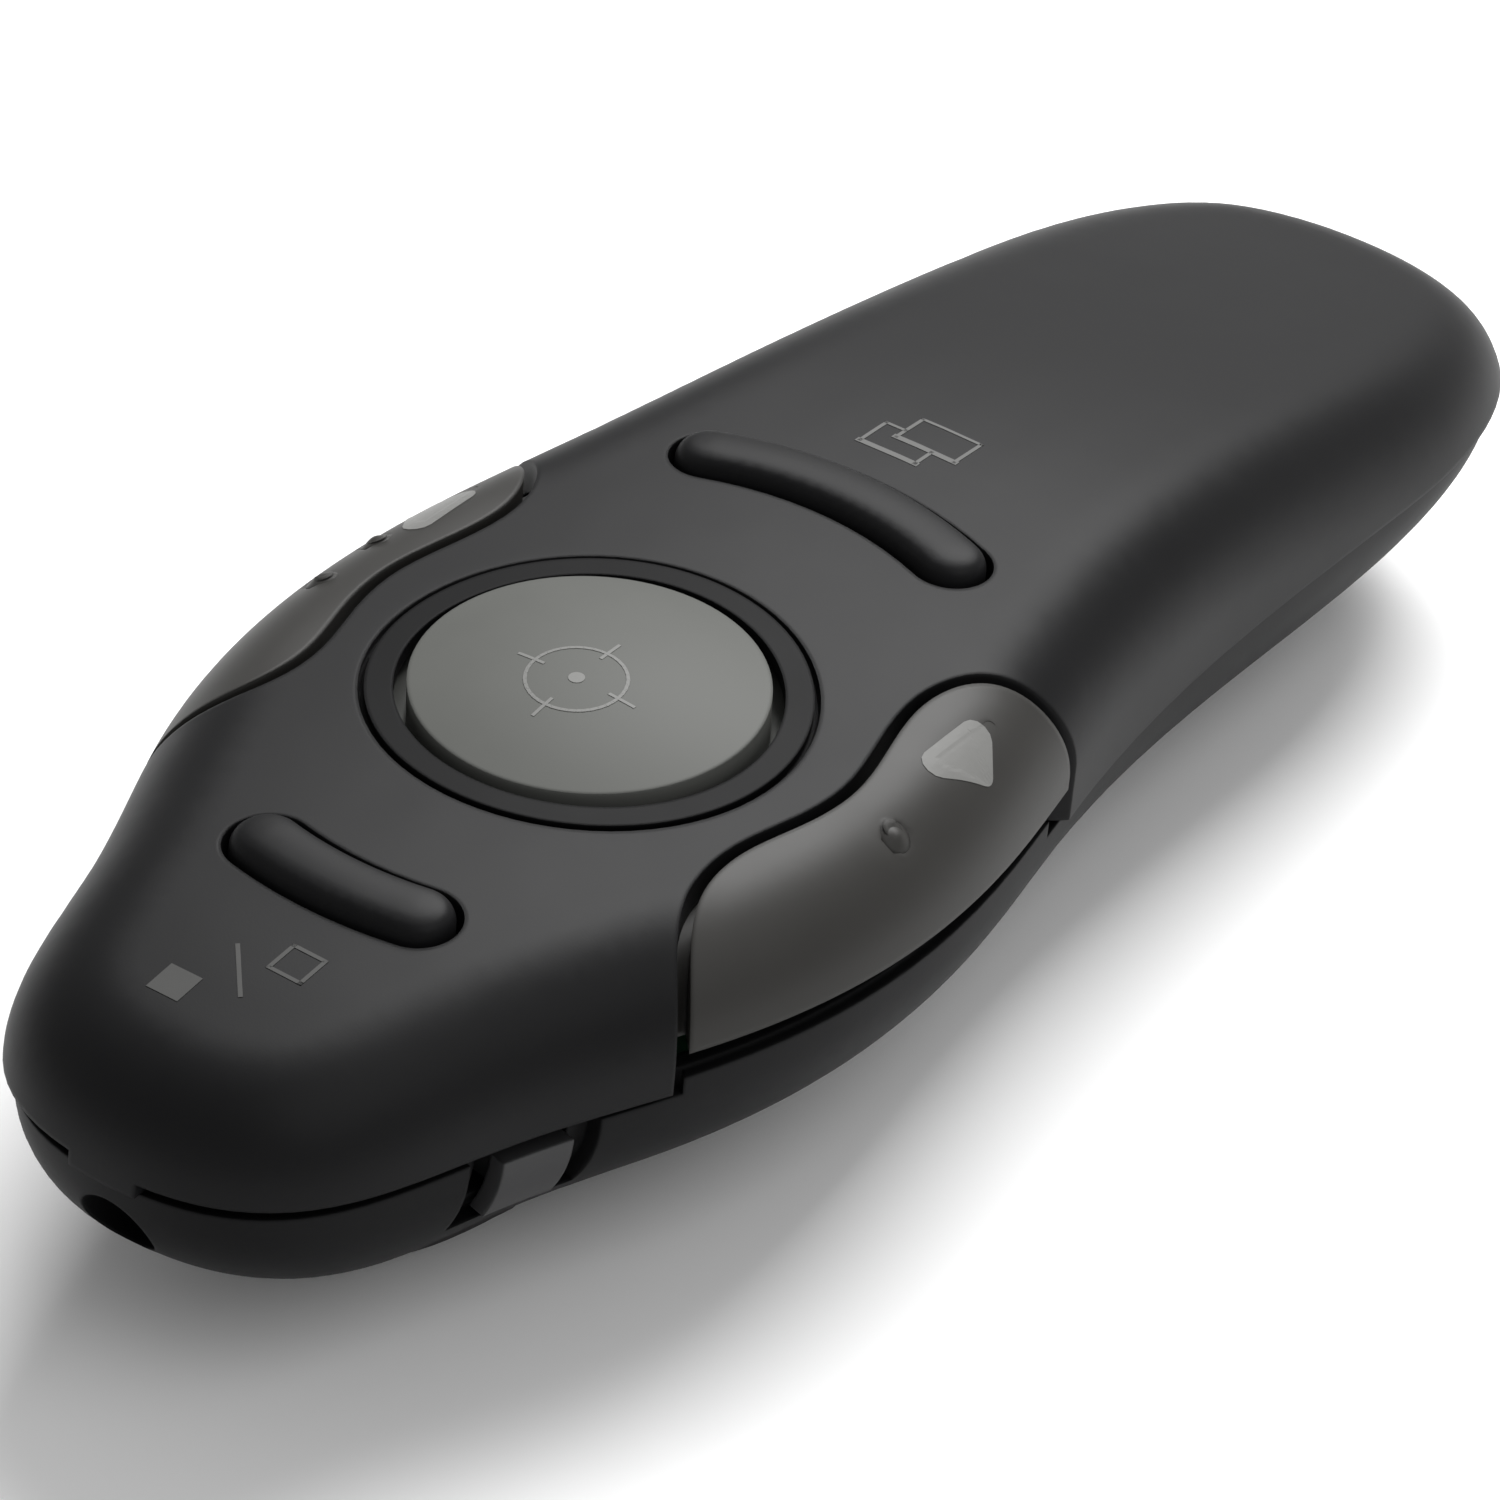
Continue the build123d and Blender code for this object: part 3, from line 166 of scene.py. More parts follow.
def tintedClear(name, look):
    # Polished tinted acrylic, glossy and nearly black in a deep hole
    material, tree, shader, place = newMaterial(name)
    cloud = addNode(tree, "ShaderNodeTexNoise", {"Scale": 1 / (look["cloudMm"] * mm)}, {"Vector": place})
    rough = addNode(tree, "ShaderNodeMapRange", {"To Min": look["rough"][0], "To Max": look["rough"][1]},
                    {"Value": cloud.outputs["Fac"]})
    tree.links.new(rough.outputs["Result"], shader.inputs["Roughness"])
    shader.inputs["Base Color"].default_value = hexColor(look["color"])
    shader.inputs["Transmission Weight"].default_value = look["clear"]
    shader.inputs["IOR"].default_value = look["ior"]
    return material


looks = {
    # soft-touch lacquer on ABS: dark, velvety, no hard highlight
    "softTouchLacquer": {"dark": "#121213", "light": "#161617", "driftMm": 9, "rough": (0.44, 0.5),
                         "grainMm": 0.12, "grain": 0.12, "grainDeepMm": 0.02, "edgeMm": 0.35,
                         "specular": 0.11},
    # black ABS with a fine spark-eroded texture
    "sparkBlackAbs": {"dark": "#0d0d0e", "light": "#111112", "driftMm": 7, "rough": (0.5, 0.58),
                      "grainMm": 0.18, "grain": 0.2, "grainDeepMm": 0.02, "edgeMm": 0.3,
                      "specular": 0.1},
    # moulded black ABS without lacquer: the ring round the round button is darker than the cover
    "plainBlackAbs": {"dark": "#080809", "light": "#0b0b0c", "driftMm": 5, "rough": (0.46, 0.52),
                      "grainMm": 0.12, "grain": 0.12, "grainDeepMm": 0.015, "edgeMm": 0.25,
                      "specular": 0.06},
    # near-black with a coarse dull texture: painted shade on collars and ledges down in the gaps, standing
    # for the shadow there
    "paintedGapShade": {"dark": "#060606", "light": "#090909", "driftMm": 7, "rough": (0.8, 0.9),
                     "grainMm": 0.25, "grain": 0.3, "grainDeepMm": 0.03, "edgeMm": 0.1,
                     "specular": 0.02},
    # satin grey ABS of the round button
    "satinGreyAbs": {"dark": "#575855", "light": "#5e5f5c", "driftMm": 6, "rough": (0.42, 0.48),
                     "grainMm": 0.15, "grain": 0.1, "grainDeepMm": 0.015, "edgeMm": 0.3,
                     "specular": 0.1},
    # metallic-grey lacquer of the side buttons
    "greyLacquer": {"dark": "#2b2a28", "light": "#31302e", "driftMm": 6, "rough": (0.46, 0.52),
                    "grainMm": 0.12, "grain": 0.08, "grainDeepMm": 0.012, "edgeMm": 0.4,
                    "specular": 0.25},
    # charcoal ABS of the power knob
    "charcoalAbs": {"dark": "#2c2c2d", "light": "#323233", "driftMm": 4, "rough": (0.4, 0.5),
                    "grainMm": 0.15, "grain": 0.12, "grainDeepMm": 0.015, "edgeMm": 0.25,
                    "specular": 0.3},
    # black glass-filled nylon of the switches
    "switchNylon": {"dark": "#161617", "light": "#1d1d1e", "driftMm": 3, "rough": (0.45, 0.55),
                    "grainMm": 0.2, "grain": 0.15, "grainDeepMm": 0.02, "edgeMm": 0.1},
    # green solder mask
    "solderMask": {"dark": "#173d24", "light": "#1f5130", "driftMm": 4, "rough": (0.25, 0.35),
                   "grainMm": 0.4, "grain": 0.1, "grainDeepMm": 0.01, "edgeMm": 0.05, "coat": 0.4},
    # printed sleeve of the cells
    "cellSleeve": {"dark": "#35523f", "light": "#3e5f49", "driftMm": 12, "rough": (0.2, 0.3),
                   "grainMm": 0.5, "grain": 0.05, "grainDeepMm": 0.01, "edgeMm": 0.2, "coat": 0.6},
    # fired ceramic of the small parts
    "firedCeramic": {"dark": "#7c6d52", "light": "#8f7f60", "driftMm": 1, "rough": (0.5, 0.6),
                     "grainMm": 0.2, "grain": 0.1, "grainDeepMm": 0.01, "edgeMm": 0.05},
    # pale grey pad-printed ink
    "paleInk": {"dark": "#727270", "light": "#7a7a78", "driftMm": 1.5, "rough": (0.42, 0.48),
                "grainMm": 0.1, "grain": 0.1, "grainDeepMm": 0.005, "edgeMm": 0.02, "specular": 0.14},
    # mid grey ink of the mark beside the long bar
    "greyInk": {"dark": "#5f5f5e", "light": "#666665", "driftMm": 1.5, "rough": (0.44, 0.5),
                "grainMm": 0.1, "grain": 0.1, "grainDeepMm": 0.005, "edgeMm": 0.02, "specular": 0.11},
    # dark grey ink of the marks at the nose
    "dimInk": {"dark": "#444443", "light": "#4a4a49", "driftMm": 1.5, "rough": (0.44, 0.5),
               "grainMm": 0.1, "grain": 0.1, "grainDeepMm": 0.005, "edgeMm": 0.02, "specular": 0.11},
}
metals = {
    # bright nickel plate on pressed steel, of the contacts, springs and plug
    "nickelPlate": {"color": "#b5b6b8", "markMm": 0.3, "rough": (0.2, 0.32)},
    # thin gold plate, of the diode's can and the plug's contacts
    "goldPlate": {"color": "#d0aa58", "markMm": 0.3, "rough": (0.2, 0.3)},
    # turned brass with fine lathe marks, of the laser's barrel
    "turnedBrass": {"color": "#b48f4c", "markMm": 0.2, "rough": (0.22, 0.35)},
    # dull zinc-plated steel, of the screws
    "zincSteel": {"color": "#8d9094", "markMm": 0.2, "rough": (0.3, 0.42)},
}
clears = {
    # dark red acrylic, polished, of the window in the nose
    "redAcrylic": {"color": "#2a0d0b", "cloudMm": 2, "clear": 0.6, "rough": (0.03, 0.08), "ior": 1.49},
    # polished clear lens
    "opticalGlass": {"color": "#e6edf0", "cloudMm": 2, "clear": 0.95, "rough": (0.03, 0.08), "ior": 1.49},
}
surfaces = {name: mouldedPlastic(name, look) for name, look in looks.items()}
surfaces.update({name: metal(name, look) for name, look in metals.items()})
surfaces.update({name: tintedClear(name, look) for name, look in clears.items()})
print("materials:", len(surfaces))


finishOf = {
    "softTouchLacquer": ["top_cover", "window_bar", "blank_bar"],
    "plainBlackAbs": ["thumb_ring"],
    "sparkBlackAbs": ["bottom_case", "battery_door", "usb_cap"],
    "satinGreyAbs": ["laser_button"],
    "greyLacquer": ["back_button", "next_button"],
    "charcoalAbs": ["power_knob"],
    "switchNylon": ["tact_switches", "laser_stem", "window_stem", "blank_stem", "back_stem", "next_stem",
                    "radio_chip", "slide_lever", "usb_tongue"],
    "solderMask": ["main_board", "driver_board"],
    "cellSleeve": ["battery_cells"],
    "firedCeramic": ["board_parts"],
    "nickelPlate": ["contact_plates", "battery_springs", "crystal", "slide_switch", "usb_shell"],
    "goldPlate": ["laser_diode", "usb_contacts"],
    "turnedBrass": ["laser_barrel"],
    "zincSteel": ["case_screws", "board_screws"],
    "redAcrylic": ["laser_window"],
    "opticalGlass": ["laser_lens"],
}
shellFinish = {
    "nodes": ["top_cover", "thumb_ring", "window_bar", "blank_bar", "bottom_case", "battery_door", "usb_cap",
              "laser_button", "back_button", "next_button", "power_knob"],
    "longestEdge": 1.2,      # mm, long facets are divided down to this
    "blend": 1.3,            # mm, reach over which the shading of neighbouring facets is evened out
    "fine": {"reach": 0.22, "within": 1.1},   # mm, the same round the finger dots
    "crease": 32.0,          # degrees
    "outwardShare": 0.4,     # part of its area by which the outer skin has to face outward
    "level": 0.8,            # upward part of a normal from which a face counts as level
    # mm under its outer skin from which a shell is painted black as shade, where it shows in a gap
    "paintedShadeDepth": {"top_cover": 0.5, "thumb_ring": 0.35, "bottom_case": 0.5, "laser_button": 0.8,
                  "back_button": 0.8, "next_button": 0.8},
}
bodyOf = {node: body for body, nodes in frame["record"]["behaviour"]["bodies"].items() for node in nodes}
mergeDistance = 0.002 * mm
tiny = 1e-12
down, upward = Vector((0, 0, -1)), Vector((0, 0, 1))


def setMaterial(obj, material):
    obj.data.materials.clear()
    obj.data.materials.append(material)


def meshFrom(shape, name):
    mesh = bpy.data.meshes.new(name)
    shape.to_mesh(mesh)
    shape.free()
    return mesh


def addPiece(name, mesh, material, body):
    piece = bpy.data.objects.new(name, mesh)
    bpy.context.scene.collection.objects.link(piece)
    setMaterial(piece, material)
    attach(piece, body)
    return piece


def smoothRegions(shape, crease):
    # splits the faces into regions that meet at creases, and lists each region's faces
    limit = math.radians(crease)
    seen, regions = set(), []
    for first in shape.faces:
        if first.index in seen:
            continue
        seen.add(first.index)
        region, waiting = [], [first]
        while waiting:
            face = waiting.pop()
            region.append(face)
            for edge in face.edges:
                if len(edge.link_faces) == 2 and edge.calc_face_angle(math.pi) < limit:
                    for other in edge.link_faces:
                        if other.index not in seen:
                            seen.add(other.index)
                            waiting.append(other)
        regions.append(region)
    return regions


def regionArea(region):
    return sum(f.calc_area() for f in region)


def distanceTo(region, place):
    # distance of a region's middle from a place
    middle = sum((f.calc_center_median() * f.calc_area() for f in region), Vector()) / regionArea(region)
    return (middle - place).length


def outerRegion(regions, outward, share):
    # the largest region that faces outward
    def facing(region):
        toward = sum((f.normal * f.calc_area() for f in region), Vector()).dot(outward)
        return regionArea(region) if toward > share * regionArea(region) else 0.0
    return max(regions, key=facing)


def divideLong(shape, longest, passes):
    for _ in range(passes):
        long = [e for e in shape.edges if e.calc_length() > longest]
        if not long:
            break
        bmesh.ops.subdivide_edges(shape, edges=long, cuts=1)
        bmesh.ops.triangulate(shape, faces=[f for f in shape.faces if len(f.verts) > 3])


def evenShading(mesh, reach, crease, fine, finePlaces):
    # corner normals from all facets within reach that turn less than the crease, each by its area
    count = len(mesh.polygons)
    normals, centres = np.empty(count * 3), np.empty(count * 3)
    areas, corners = np.empty(count), np.empty(len(mesh.loops), int)
    mesh.polygons.foreach_get("normal", normals)
    mesh.polygons.foreach_get("center", centres)
    mesh.polygons.foreach_get("area", areas)
    mesh.loops.foreach_get("vertex_index", corners)
    normals, centres = normals.reshape(-1, 3), centres.reshape(-1, 3)
    tree = KDTree(count)
    for i, centre in enumerate(centres):
        tree.insert(centre, i)
    tree.balance()
    near = []
    for v in mesh.vertices:
        small = any((v.co - place).length < fine["within"] * mm for place in finePlaces)
        hits = tree.find_range(v.co, fine["reach"] * mm if small else reach)
        near.append(np.array([hit[1] for hit in hits], int))
    limit = math.cos(math.radians(crease))
    result = np.empty((len(mesh.loops), 3))
    for i in range(count):
        own = normals[i]
        for corner in mesh.polygons[i].loop_indices:
            around = near[corners[corner]]
            facing = normals[around]
            weight = areas[around] * (facing @ own > limit)
            total = weight @ facing
            size = math.sqrt(total @ total)
            result[corner] = total / size if size > tiny else own
    mesh.normals_split_custom_set(result.tolist())


def smoothShell(node, material, look, outward=None, flat=(), dots=(), shadedLedge=None):
    # merged copy of a CAD shell with evened shading, painted black as shade where it lies deep in a gap or on
    # a level ledge under the cover; the raised marks of a button are levelled where ink and finer dots take
    # their place
    shape = bmesh.new()
    shape.from_mesh(frame["nodes"][node].data)
    bmesh.ops.remove_doubles(shape, verts=shape.verts, dist=mergeDistance)
    bmesh.ops.dissolve_degenerate(shape, edges=shape.edges, dist=mergeDistance)
    skinTree = None
    if outward is not None:
        shape.faces.ensure_lookup_table()
        shape.faces.index_update()
        regions = smoothRegions(shape, look["crease"])
        cap = outerRegion(regions, outward, look["outwardShare"])
        for place in flat:
            reach = place["within"] * mm
            near = [r for r in regions if r is not cap and distanceTo(r, place["middle"]) < reach]
            if near:
                raised = max(near, key=regionArea)
                up = sum((f.normal * f.calc_area() for f in raised), Vector()).normalized()
                for vert in {v for f in raised for v in f.verts}:
                    vert.co -= up * place["rise"] * mm
        corners = {v: i for i, v in enumerate({v for f in cap for v in f.verts})}
        skinTree = BVHTree.FromPolygons([v.co.copy() for v in corners],
                                        [[corners[v] for v in f.verts] for f in cap])
        bmesh.ops.remove_doubles(shape, verts=shape.verts, dist=mergeDistance)
    divideLong(shape, look["longestEdge"] * mm, passes=8)
    for face in shape.faces:
        face.smooth = True
        middle = face.calc_center_median()
        # faces deep under the outer skin, and level ledge faces of the case, take the painted gap shade
        deep = skinTree and skinTree.find_nearest(middle)[3] > look["paintedShadeDepth"][node] * mm
        covered = shadedLedge and shadedLedge["low"] * mm < middle.z < shadedLedge["high"] * mm
        face.material_index = 1 if deep or (covered and face.normal.z > look["level"]) else 0
    mesh = meshFrom(shape, node + "Shell")
    evenShading(mesh, look["blend"] * mm, look["crease"], look["fine"], dots)
    piece = addPiece(node + "Shell", mesh, material, bodyOf[node])
    # second slot: the near-black painted shade of the gaps
    if skinTree:
        mesh.materials.append(surfaces["paintedGapShade"])
    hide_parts(node)
    return piece


# the way that a shell's outer skin faces
outwardOf = {"top_cover": upward, "thumb_ring": upward, "bottom_case": down, "laser_button": upward,
             "back_button": Vector((0.6, 0, 0.8)), "next_button": Vector((-0.6, 0, 0.8))}
# raised marks of the side buttons that are levelled: where, how high they stand, how near to look, mm
dotPlaces = {"back_button": [Vector((18.6, -19.7, 21.6)) * mm],
             "next_button": [Vector((-18.6, -20.8, 21.6)) * mm, Vector((-18.6, -16.1, 21.6)) * mm]}
raisedArrow = {"place": (17.9, -11.3, 22.1), "rise": 0.27, "within": 1.2}
raisedDots = {"rise": 0.32, "within": 0.8}
flatPlace = {}
for side, node in ((1, "back_button"), (-1, "next_button")):
    x, y, z = raisedArrow["place"]
    flatPlace[node] = [{**raisedArrow, "middle": Vector((side * x, y, z)) * mm}]
    flatPlace[node] += [{**raisedDots, "middle": dot} for dot in dotPlaces[node]]
# the level ledge of the case under the cover is painted black as the shade in the gap below the side buttons
shadedCaseLedge = {"low": 11.0, "high": 16.0}      # mm, level faces of the case that lie under the cover
shells = {}
for surface, nodes in finishOf.items():
    for node in nodes:
        if node in shellFinish["nodes"]:
            shells[node] = smoothShell(node, surfaces[surface], shellFinish, outwardOf.get(node),
                                       flatPlace.get(node, ()), dotPlaces.get(node, ()),
                                       shadedCaseLedge if node == "bottom_case" else None)
            print("shell:", node, len(shells[node].data.polygons), "faces")
        else:
            setMaterial(frame["nodes"][node], surfaces[surface])
print("shells dressed:", len(shells))


printing = {
    "thickness": 0.03,      # ink layer, mm
    "grid": 0.35,           # how finely a mark is divided to follow the surface, mm
    "above": 60.0,          # height from which a mark is laid down, mm
}


def surfaceUnder(piece):
    shape = bmesh.new()
    shape.from_mesh(piece.data)
    tree = BVHTree.FromBMesh(shape)
    shape.free()
    return tree


def layInk(name, outlines, piece, ink, body):
    # outlines: closed loops in mm, each a flat patch of ink that is laid on the piece from above
    shape = bmesh.new()
    for loop in outlines:
        corners = [shape.verts.new((x * mm, y * mm, 0.0)) for x, y in loop]
        shape.faces.new(corners)
    bmesh.ops.triangulate(shape, faces=shape.faces)
    divideLong(shape, printing["grid"] * mm, passes=5)
    tree = surfaceUnder(piece)
    for vert in shape.verts:
        above = Vector((vert.co.x, vert.co.y, printing["above"] * mm))
        hit, normal, _, _ = tree.ray_cast(above, down)
        vert.co = hit + normal * printing["thickness"] * mm
    bmesh.ops.recalc_face_normals(shape, faces=shape.faces)
    if sum(f.normal.z * f.calc_area() for f in shape.faces) < 0:
        bmesh.ops.reverse_faces(shape, faces=shape.faces)
    rim = bmesh.ops.extrude_face_region(shape, geom=shape.faces[:])
    lower = [g for g in rim["geom"] if isinstance(g, bmesh.types.BMVert)]
    for vert in lower:
        hit, normal, _, _ = tree.find_nearest(vert.co)
        vert.co = hit - normal * printing["thickness"] * mm
    bmesh.ops.recalc_face_normals(shape, faces=shape.faces)
    return addPiece(name, meshFrom(shape, name), ink, body)


def barBetween(a, b, width):
    # corners of a straight line of ink with square ends
    along = (Vector(b) - Vector(a)).normalized()
    side = Vector((-along.y, along.x)) * width / 2
    reach = along * width / 2
    return [tuple(Vector(a) - side - reach), tuple(Vector(b) - side + reach),
            tuple(Vector(b) + side + reach), tuple(Vector(a) + side - reach)]


def lineLoop(points, width, closed=True):
    # lines of ink through points in turn, and back to the first
    ends = list(zip(points, points[1:])) + ([(points[-1], points[0])] if closed else [])
    return [barBetween(a, b, width) for a, b in ends]


def rectangle(middle, width, height):
    x, y = middle
    return [(x - width / 2, y - height / 2), (x + width / 2, y - height / 2),
            (x + width / 2, y + height / 2), (x - width / 2, y + height / 2)]


def roundedPolygon(corners, radius, steps=5):
    # corners of a convex polygon rounded by arcs
    points = []
    count = len(corners)
    for i in range(count):
        here = Vector(corners[i])
        before = (Vector(corners[i - 1]) - here).normalized()
        after = (Vector(corners[(i + 1) % count]) - here).normalized()
        half = before.angle(after) / 2
        middle = here + (before + after).normalized() * radius / math.sin(half)
        start = here + before * radius / math.tan(half) - middle
        end = here + after * radius / math.tan(half) - middle
        turn = start.angle_signed(end)
        for k in range(steps + 1):
            a = -turn * k / steps
            points.append((middle.x + start.x * math.cos(a) - start.y * math.sin(a),
                           middle.y + start.x * math.sin(a) + start.y * math.cos(a)))
    return points


# sizes in mm; reach is where the surface round a dot is felt, foot how deep the rim of the dome goes
fingerDots = {"radius": 0.85, "rise": 0.36, "reach": 1.15, "foot": 0.1,
              "rings": 8, "spokes": 28, "feelers": 12,
              "back_button": [(18.5, -19.8)], "next_button": [(-18.3, -20.8), (-18.3, -16.1)]}


def raiseDot(name, middle, piece, look, material, body):
    # low dome with a soft foot over a finger dot, set on the plane of the surface round it
    tree = surfaceUnder(piece)
    around = []
    for k in range(look["feelers"]):
        a = 2 * math.pi * k / look["feelers"]
        x, y = middle[0] + look["reach"] * math.cos(a), middle[1] + look["reach"] * math.sin(a)
        around.append(tree.ray_cast(Vector((x, y, printing["above"])) * mm, down)[0])
    centre = sum(around, Vector()) / len(around)
    up = sum(((a - centre).cross(b - centre) for a, b in zip(around, around[1:] + around[:1])), Vector())
    up.normalize()
    level = up.orthogonal()
    across = up.cross(level)
    shape = bmesh.new()
    top = shape.verts.new(centre + up * look["rise"] * mm)
    before = None
    for ring in range(1, look["rings"] + 1):
        share = ring / look["rings"]
        height = look["rise"] * math.cos(share * math.pi / 2) ** 2 - (look["foot"] if share == 1 else 0.0)
        loop = []
        for k in range(look["spokes"]):
            a = 2 * math.pi * k / look["spokes"]
            way = level * math.cos(a) + across * math.sin(a)
            loop.append(shape.verts.new(centre + (way * look["radius"] * share + up * height) * mm))
        for k in range(look["spokes"]):
            after = (k + 1) % look["spokes"]
            corners = [top, loop[k], loop[after]] if before is None else [before[k], loop[k], loop[after],
                                                                         before[after]]
            shape.faces.new(corners).smooth = True
        before = loop
    shape.faces.new(before[::-1])
    bmesh.ops.recalc_face_normals(shape, faces=shape.faces)
    return addPiece(name, meshFrom(shape, name), material, body)


for node in ("back_button", "next_button"):
    for k, middle in enumerate(fingerDots[node]):
        raiseDot(f"{bodyOf[node]}Dot{k}", middle, shells[node], fingerDots, surfaces["greyLacquer"], node)
print("finger dots raised")


doorSkirt = {
    "start": 2.5, "end": 37.1, "step": 1.15,      # mm along the body
    "foot": 2.2, "sunk": 0.02,                    # mm, height of the foot on the door and how far it sinks in
    "edge": 10.88, "wall": 0.9,                   # mm, where its upper edge stands and its thickness
    "probe": 11.1, "below": -5.0, "slope": 1.25,  # where the case beside it is felt, and its slope there
}


def addSkirt(name, side, look):
    # lip along the side of the battery door that carries the round of the case on up to its edge
    case, door = surfaceUnder(shells["bottom_case"]), surfaceUnder(shells["battery_door"])
    shape = bmesh.new()
    count = round((look["end"] - look["start"]) / look["step"])
    before, end = None, None
    for k in range(count + 1):
        y = look["start"] + (look["end"] - look["start"]) * k / count
        low = Vector((side * look["probe"], y, look["below"])) * mm
        beside = Vector((side * 2 * look["edge"], y, look["foot"])) * mm
        top = case.ray_cast(low, upward)[0].z / mm - look["slope"] * (look["probe"] - look["edge"])
        foot = abs(door.ray_cast(beside, Vector((-side, 0, 0)))[0].x) / mm
        section = [(foot - look["sunk"], look["foot"]), (look["edge"], top),
                   (look["edge"], top + look["wall"]), (foot - look["wall"], look["foot"])]
        corners = [Vector((side * x, y, z)) * mm for x, z in section]
        if before is None:
            end = shape.faces.new([shape.verts.new(corner) for corner in corners])
        else:
            grown = bmesh.ops.extrude_face_region(shape, geom=[end])["geom"]
            if k > 1:       # the first end closes the lip, the later ones would stay inside it
                bmesh.ops.delete(shape, geom=[end], context="FACES_ONLY")
            end = next(g for g in grown if isinstance(g, bmesh.types.BMFace))
            for vert in end.verts:
                nearest = min(range(len(before)), key=lambda i: (vert.co - before[i]).length)
                vert.co = corners[nearest]
        before = corners
    bmesh.ops.recalc_face_normals(shape, faces=shape.faces)
    return addPiece(name, meshFrom(shape, name), surfaces["sparkBlackAbs"], "battery_door")


addSkirt("doorSkirtNear", 1, doorSkirt)
addSkirt("doorSkirtFar", -1, doorSkirt)
print("door skirts added")


cover = shells["top_cover"]
# filled square, slash and open square at the nose
blankMark = {"square": 2.0, "filled": (-1.77, -53.43), "open": (2.32, -48.85), "line": 0.24,
             "slash": ((-0.95, -49.5), (1.5, -52.3))}      # mm
layInk("filledSquareMark", [rectangle(blankMark["filled"], blankMark["square"], blankMark["square"])],
       cover, surfaces["dimInk"], "root")
openLoop = rectangle(blankMark["open"], blankMark["square"], blankMark["square"])
layInk("openSquareMark", lineLoop(openLoop, blankMark["line"]), cover, surfaces["dimInk"], "root")
layInk("slashMark", [barBetween(*blankMark["slash"], blankMark["line"])], cover, surfaces["dimInk"], "root")
# two overlapping panes; the long sides towards the nose are drawn heavier
windowMark = {"front": (-1.4, 8.87, 2.5, 11.55), "back": (-2.7, 7.17, 1.0, 9.8), "line": 0.23, "heavy": 0.42}
frontX, frontY, frontRight, frontTop = windowMark["front"]
backX, backY, backRight, backTop = windowMark["back"]
fineLines = [[(frontX, frontY), (frontX, frontTop), (frontRight, frontTop), (frontRight, frontY)],
             [(frontX, backTop), (backX, backTop), (backX, backY)], [(backRight, backY), (backRight, frontY)]]
heavyLines = [[(frontX, frontY), (frontRight, frontY)], [(backX, backY), (backRight, backY)]]
paneBars = [bar for points in fineLines for bar in lineLoop(points, windowMark["line"], closed=False)]
paneBars += [bar for points in heavyLines for bar in lineLoop(points, windowMark["heavy"], closed=False)]
layInk("windowMark", paneBars, cover, surfaces["greyInk"], "root")
# pointer mark of the round button: a thin ring with four short ticks and a dot
pointerMark = {"middle": (0.0, -22.8), "radius": 2.7, "line": 0.2, "tick": (2.2, 3.7), "dot": 0.45,
               "steps": 40}      # mm


def ringBars(mark):
    # outlines of the ring, its ticks and its dot
    middle = Vector(mark["middle"])
    angles = [2 * math.pi * k / mark["steps"] for k in range(mark["steps"])]
    loop = [tuple(middle + mark["radius"] * Vector((math.cos(a), math.sin(a)))) for a in angles]
    dot = [tuple(middle + mark["dot"] * Vector((math.cos(a), math.sin(a)))) for a in angles[::2]]
    ticks = []
    for quarter in range(4):
        way = Vector((math.cos(quarter * math.pi / 2), math.sin(quarter * math.pi / 2)))
        ticks.append(barBetween(middle + way * mark["tick"][0], middle + way * mark["tick"][1], mark["line"]))
    return lineLoop(loop, mark["line"]) + ticks + [dot]


layInk("pointerMark", ringBars(pointerMark), shells["laser_button"], surfaces["paleInk"], "laser_button")
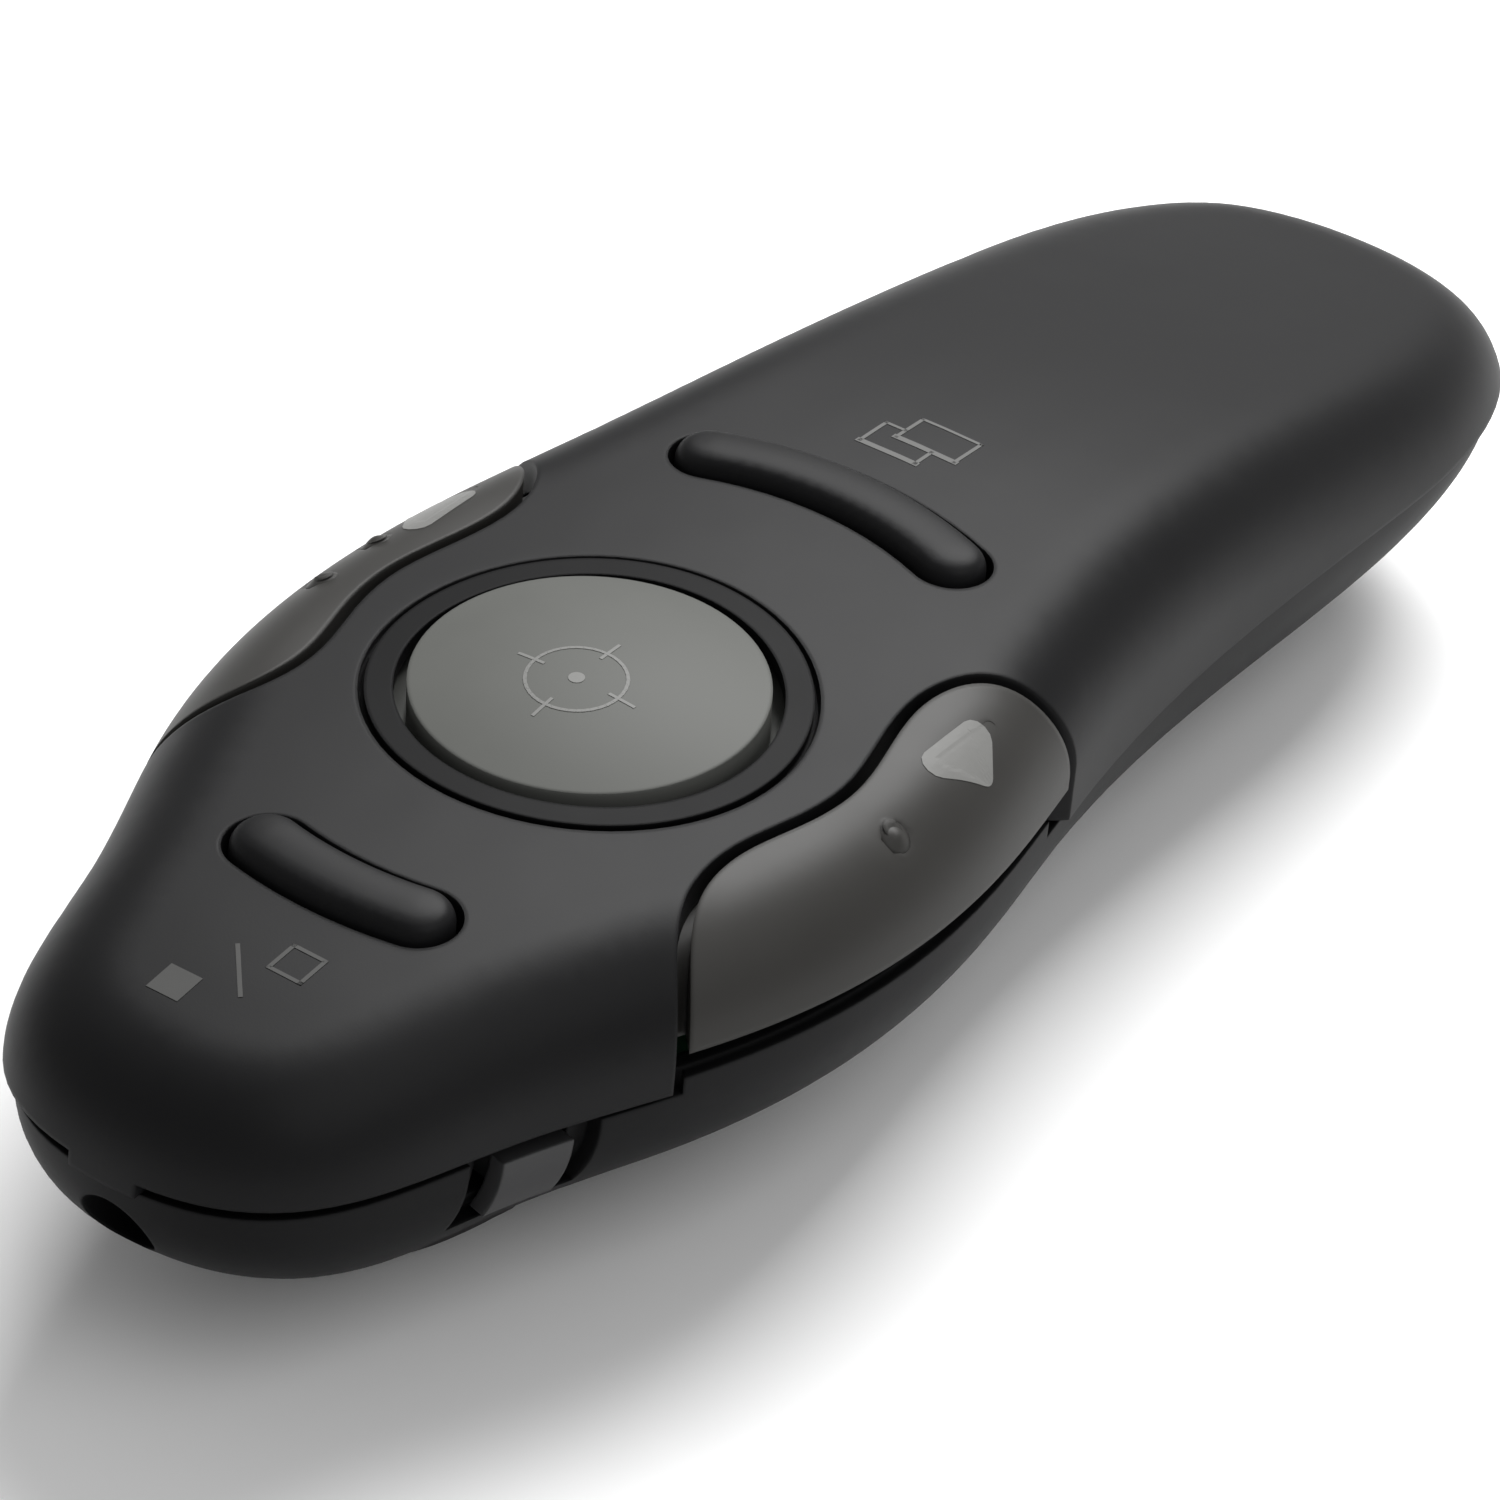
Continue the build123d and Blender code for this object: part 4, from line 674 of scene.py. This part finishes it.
# arrow of each side button, its tip towards the outer side
arrow = {"base": 16.25, "tip": 19.35, "low": -17.2, "high": -7.8, "middle": -11.8, "corner": 0.85}   # mm
for side, node, mark in ((1, "back_button", "backArrow"), (-1, "next_button", "nextArrow")):
    corners = [(side * arrow["base"], arrow["low"]), (side * arrow["tip"], arrow["middle"]),
               (side * arrow["base"], arrow["high"])]
    layInk(mark, [roundedPolygon(corners, arrow["corner"])], shells[node], surfaces["paleInk"], node)
print("marks laid")


studio = {
    "floor": "#fbfbfb", "floorRough": 0.7, "floorSize": 4.0,      # half its side in metres
    "floorDrop": 0.05,      # mm below the rest face, so that the two don't coincide
    "world": "#ffffff", "worldStrength": 0.38,
    # lights in metres and watts, all turned to aim
    "aim": (0, 0, 0.01),
    "key": {"place": (-0.13, 0.42, 0.54), "size": (0.45, 0.35), "power": 6.8},
    "fill": {"place": (0.5, -0.1, 0.6), "size": (0.6, 0.6), "power": 1.6},
}


def makeFloor(look):
    # sheet of matt pale paper
    shape = bmesh.new()
    bmesh.ops.create_grid(shape, x_segments=1, y_segments=1, size=look["floorSize"],
                          matrix=Matrix.Translation((0, 0, -look["floorDrop"] * mm)))
    floor = bpy.data.objects.new("floor", meshFrom(shape, "floor"))
    bpy.context.scene.collection.objects.link(floor)
    material, _, shader, _ = newMaterial("mattPaper")
    shader.inputs["Base Color"].default_value = hexColor(look["floor"])
    shader.inputs["Roughness"].default_value = look["floorRough"]
    setMaterial(floor, material)


def makeLight(name, place, size, power):
    # soft box, turned to the object
    light = bpy.data.lights.new(name, "AREA")
    light.shape = "RECTANGLE"
    light.size, light.size_y = size
    light.energy = power
    obj = bpy.data.objects.new(name, light)
    bpy.context.scene.collection.objects.link(obj)
    obj.location = place
    obj.rotation_euler = (Vector(studio["aim"]) - Vector(place)).to_track_quat("-Z", "Y").to_euler()


makeFloor(studio)
for name in ("key", "fill"):
    makeLight(name + "Light", **studio[name])
world = bpy.data.worlds.new("studioWorld")
bpy.context.scene.world = world
world.use_nodes = True
background = world.node_tree.nodes["Background"]
background.inputs["Color"].default_value = hexColor(studio["world"])
background.inputs["Strength"].default_value = studio["worldStrength"]
bpy.context.scene.view_settings.view_transform = "Standard"
print("studio ready")
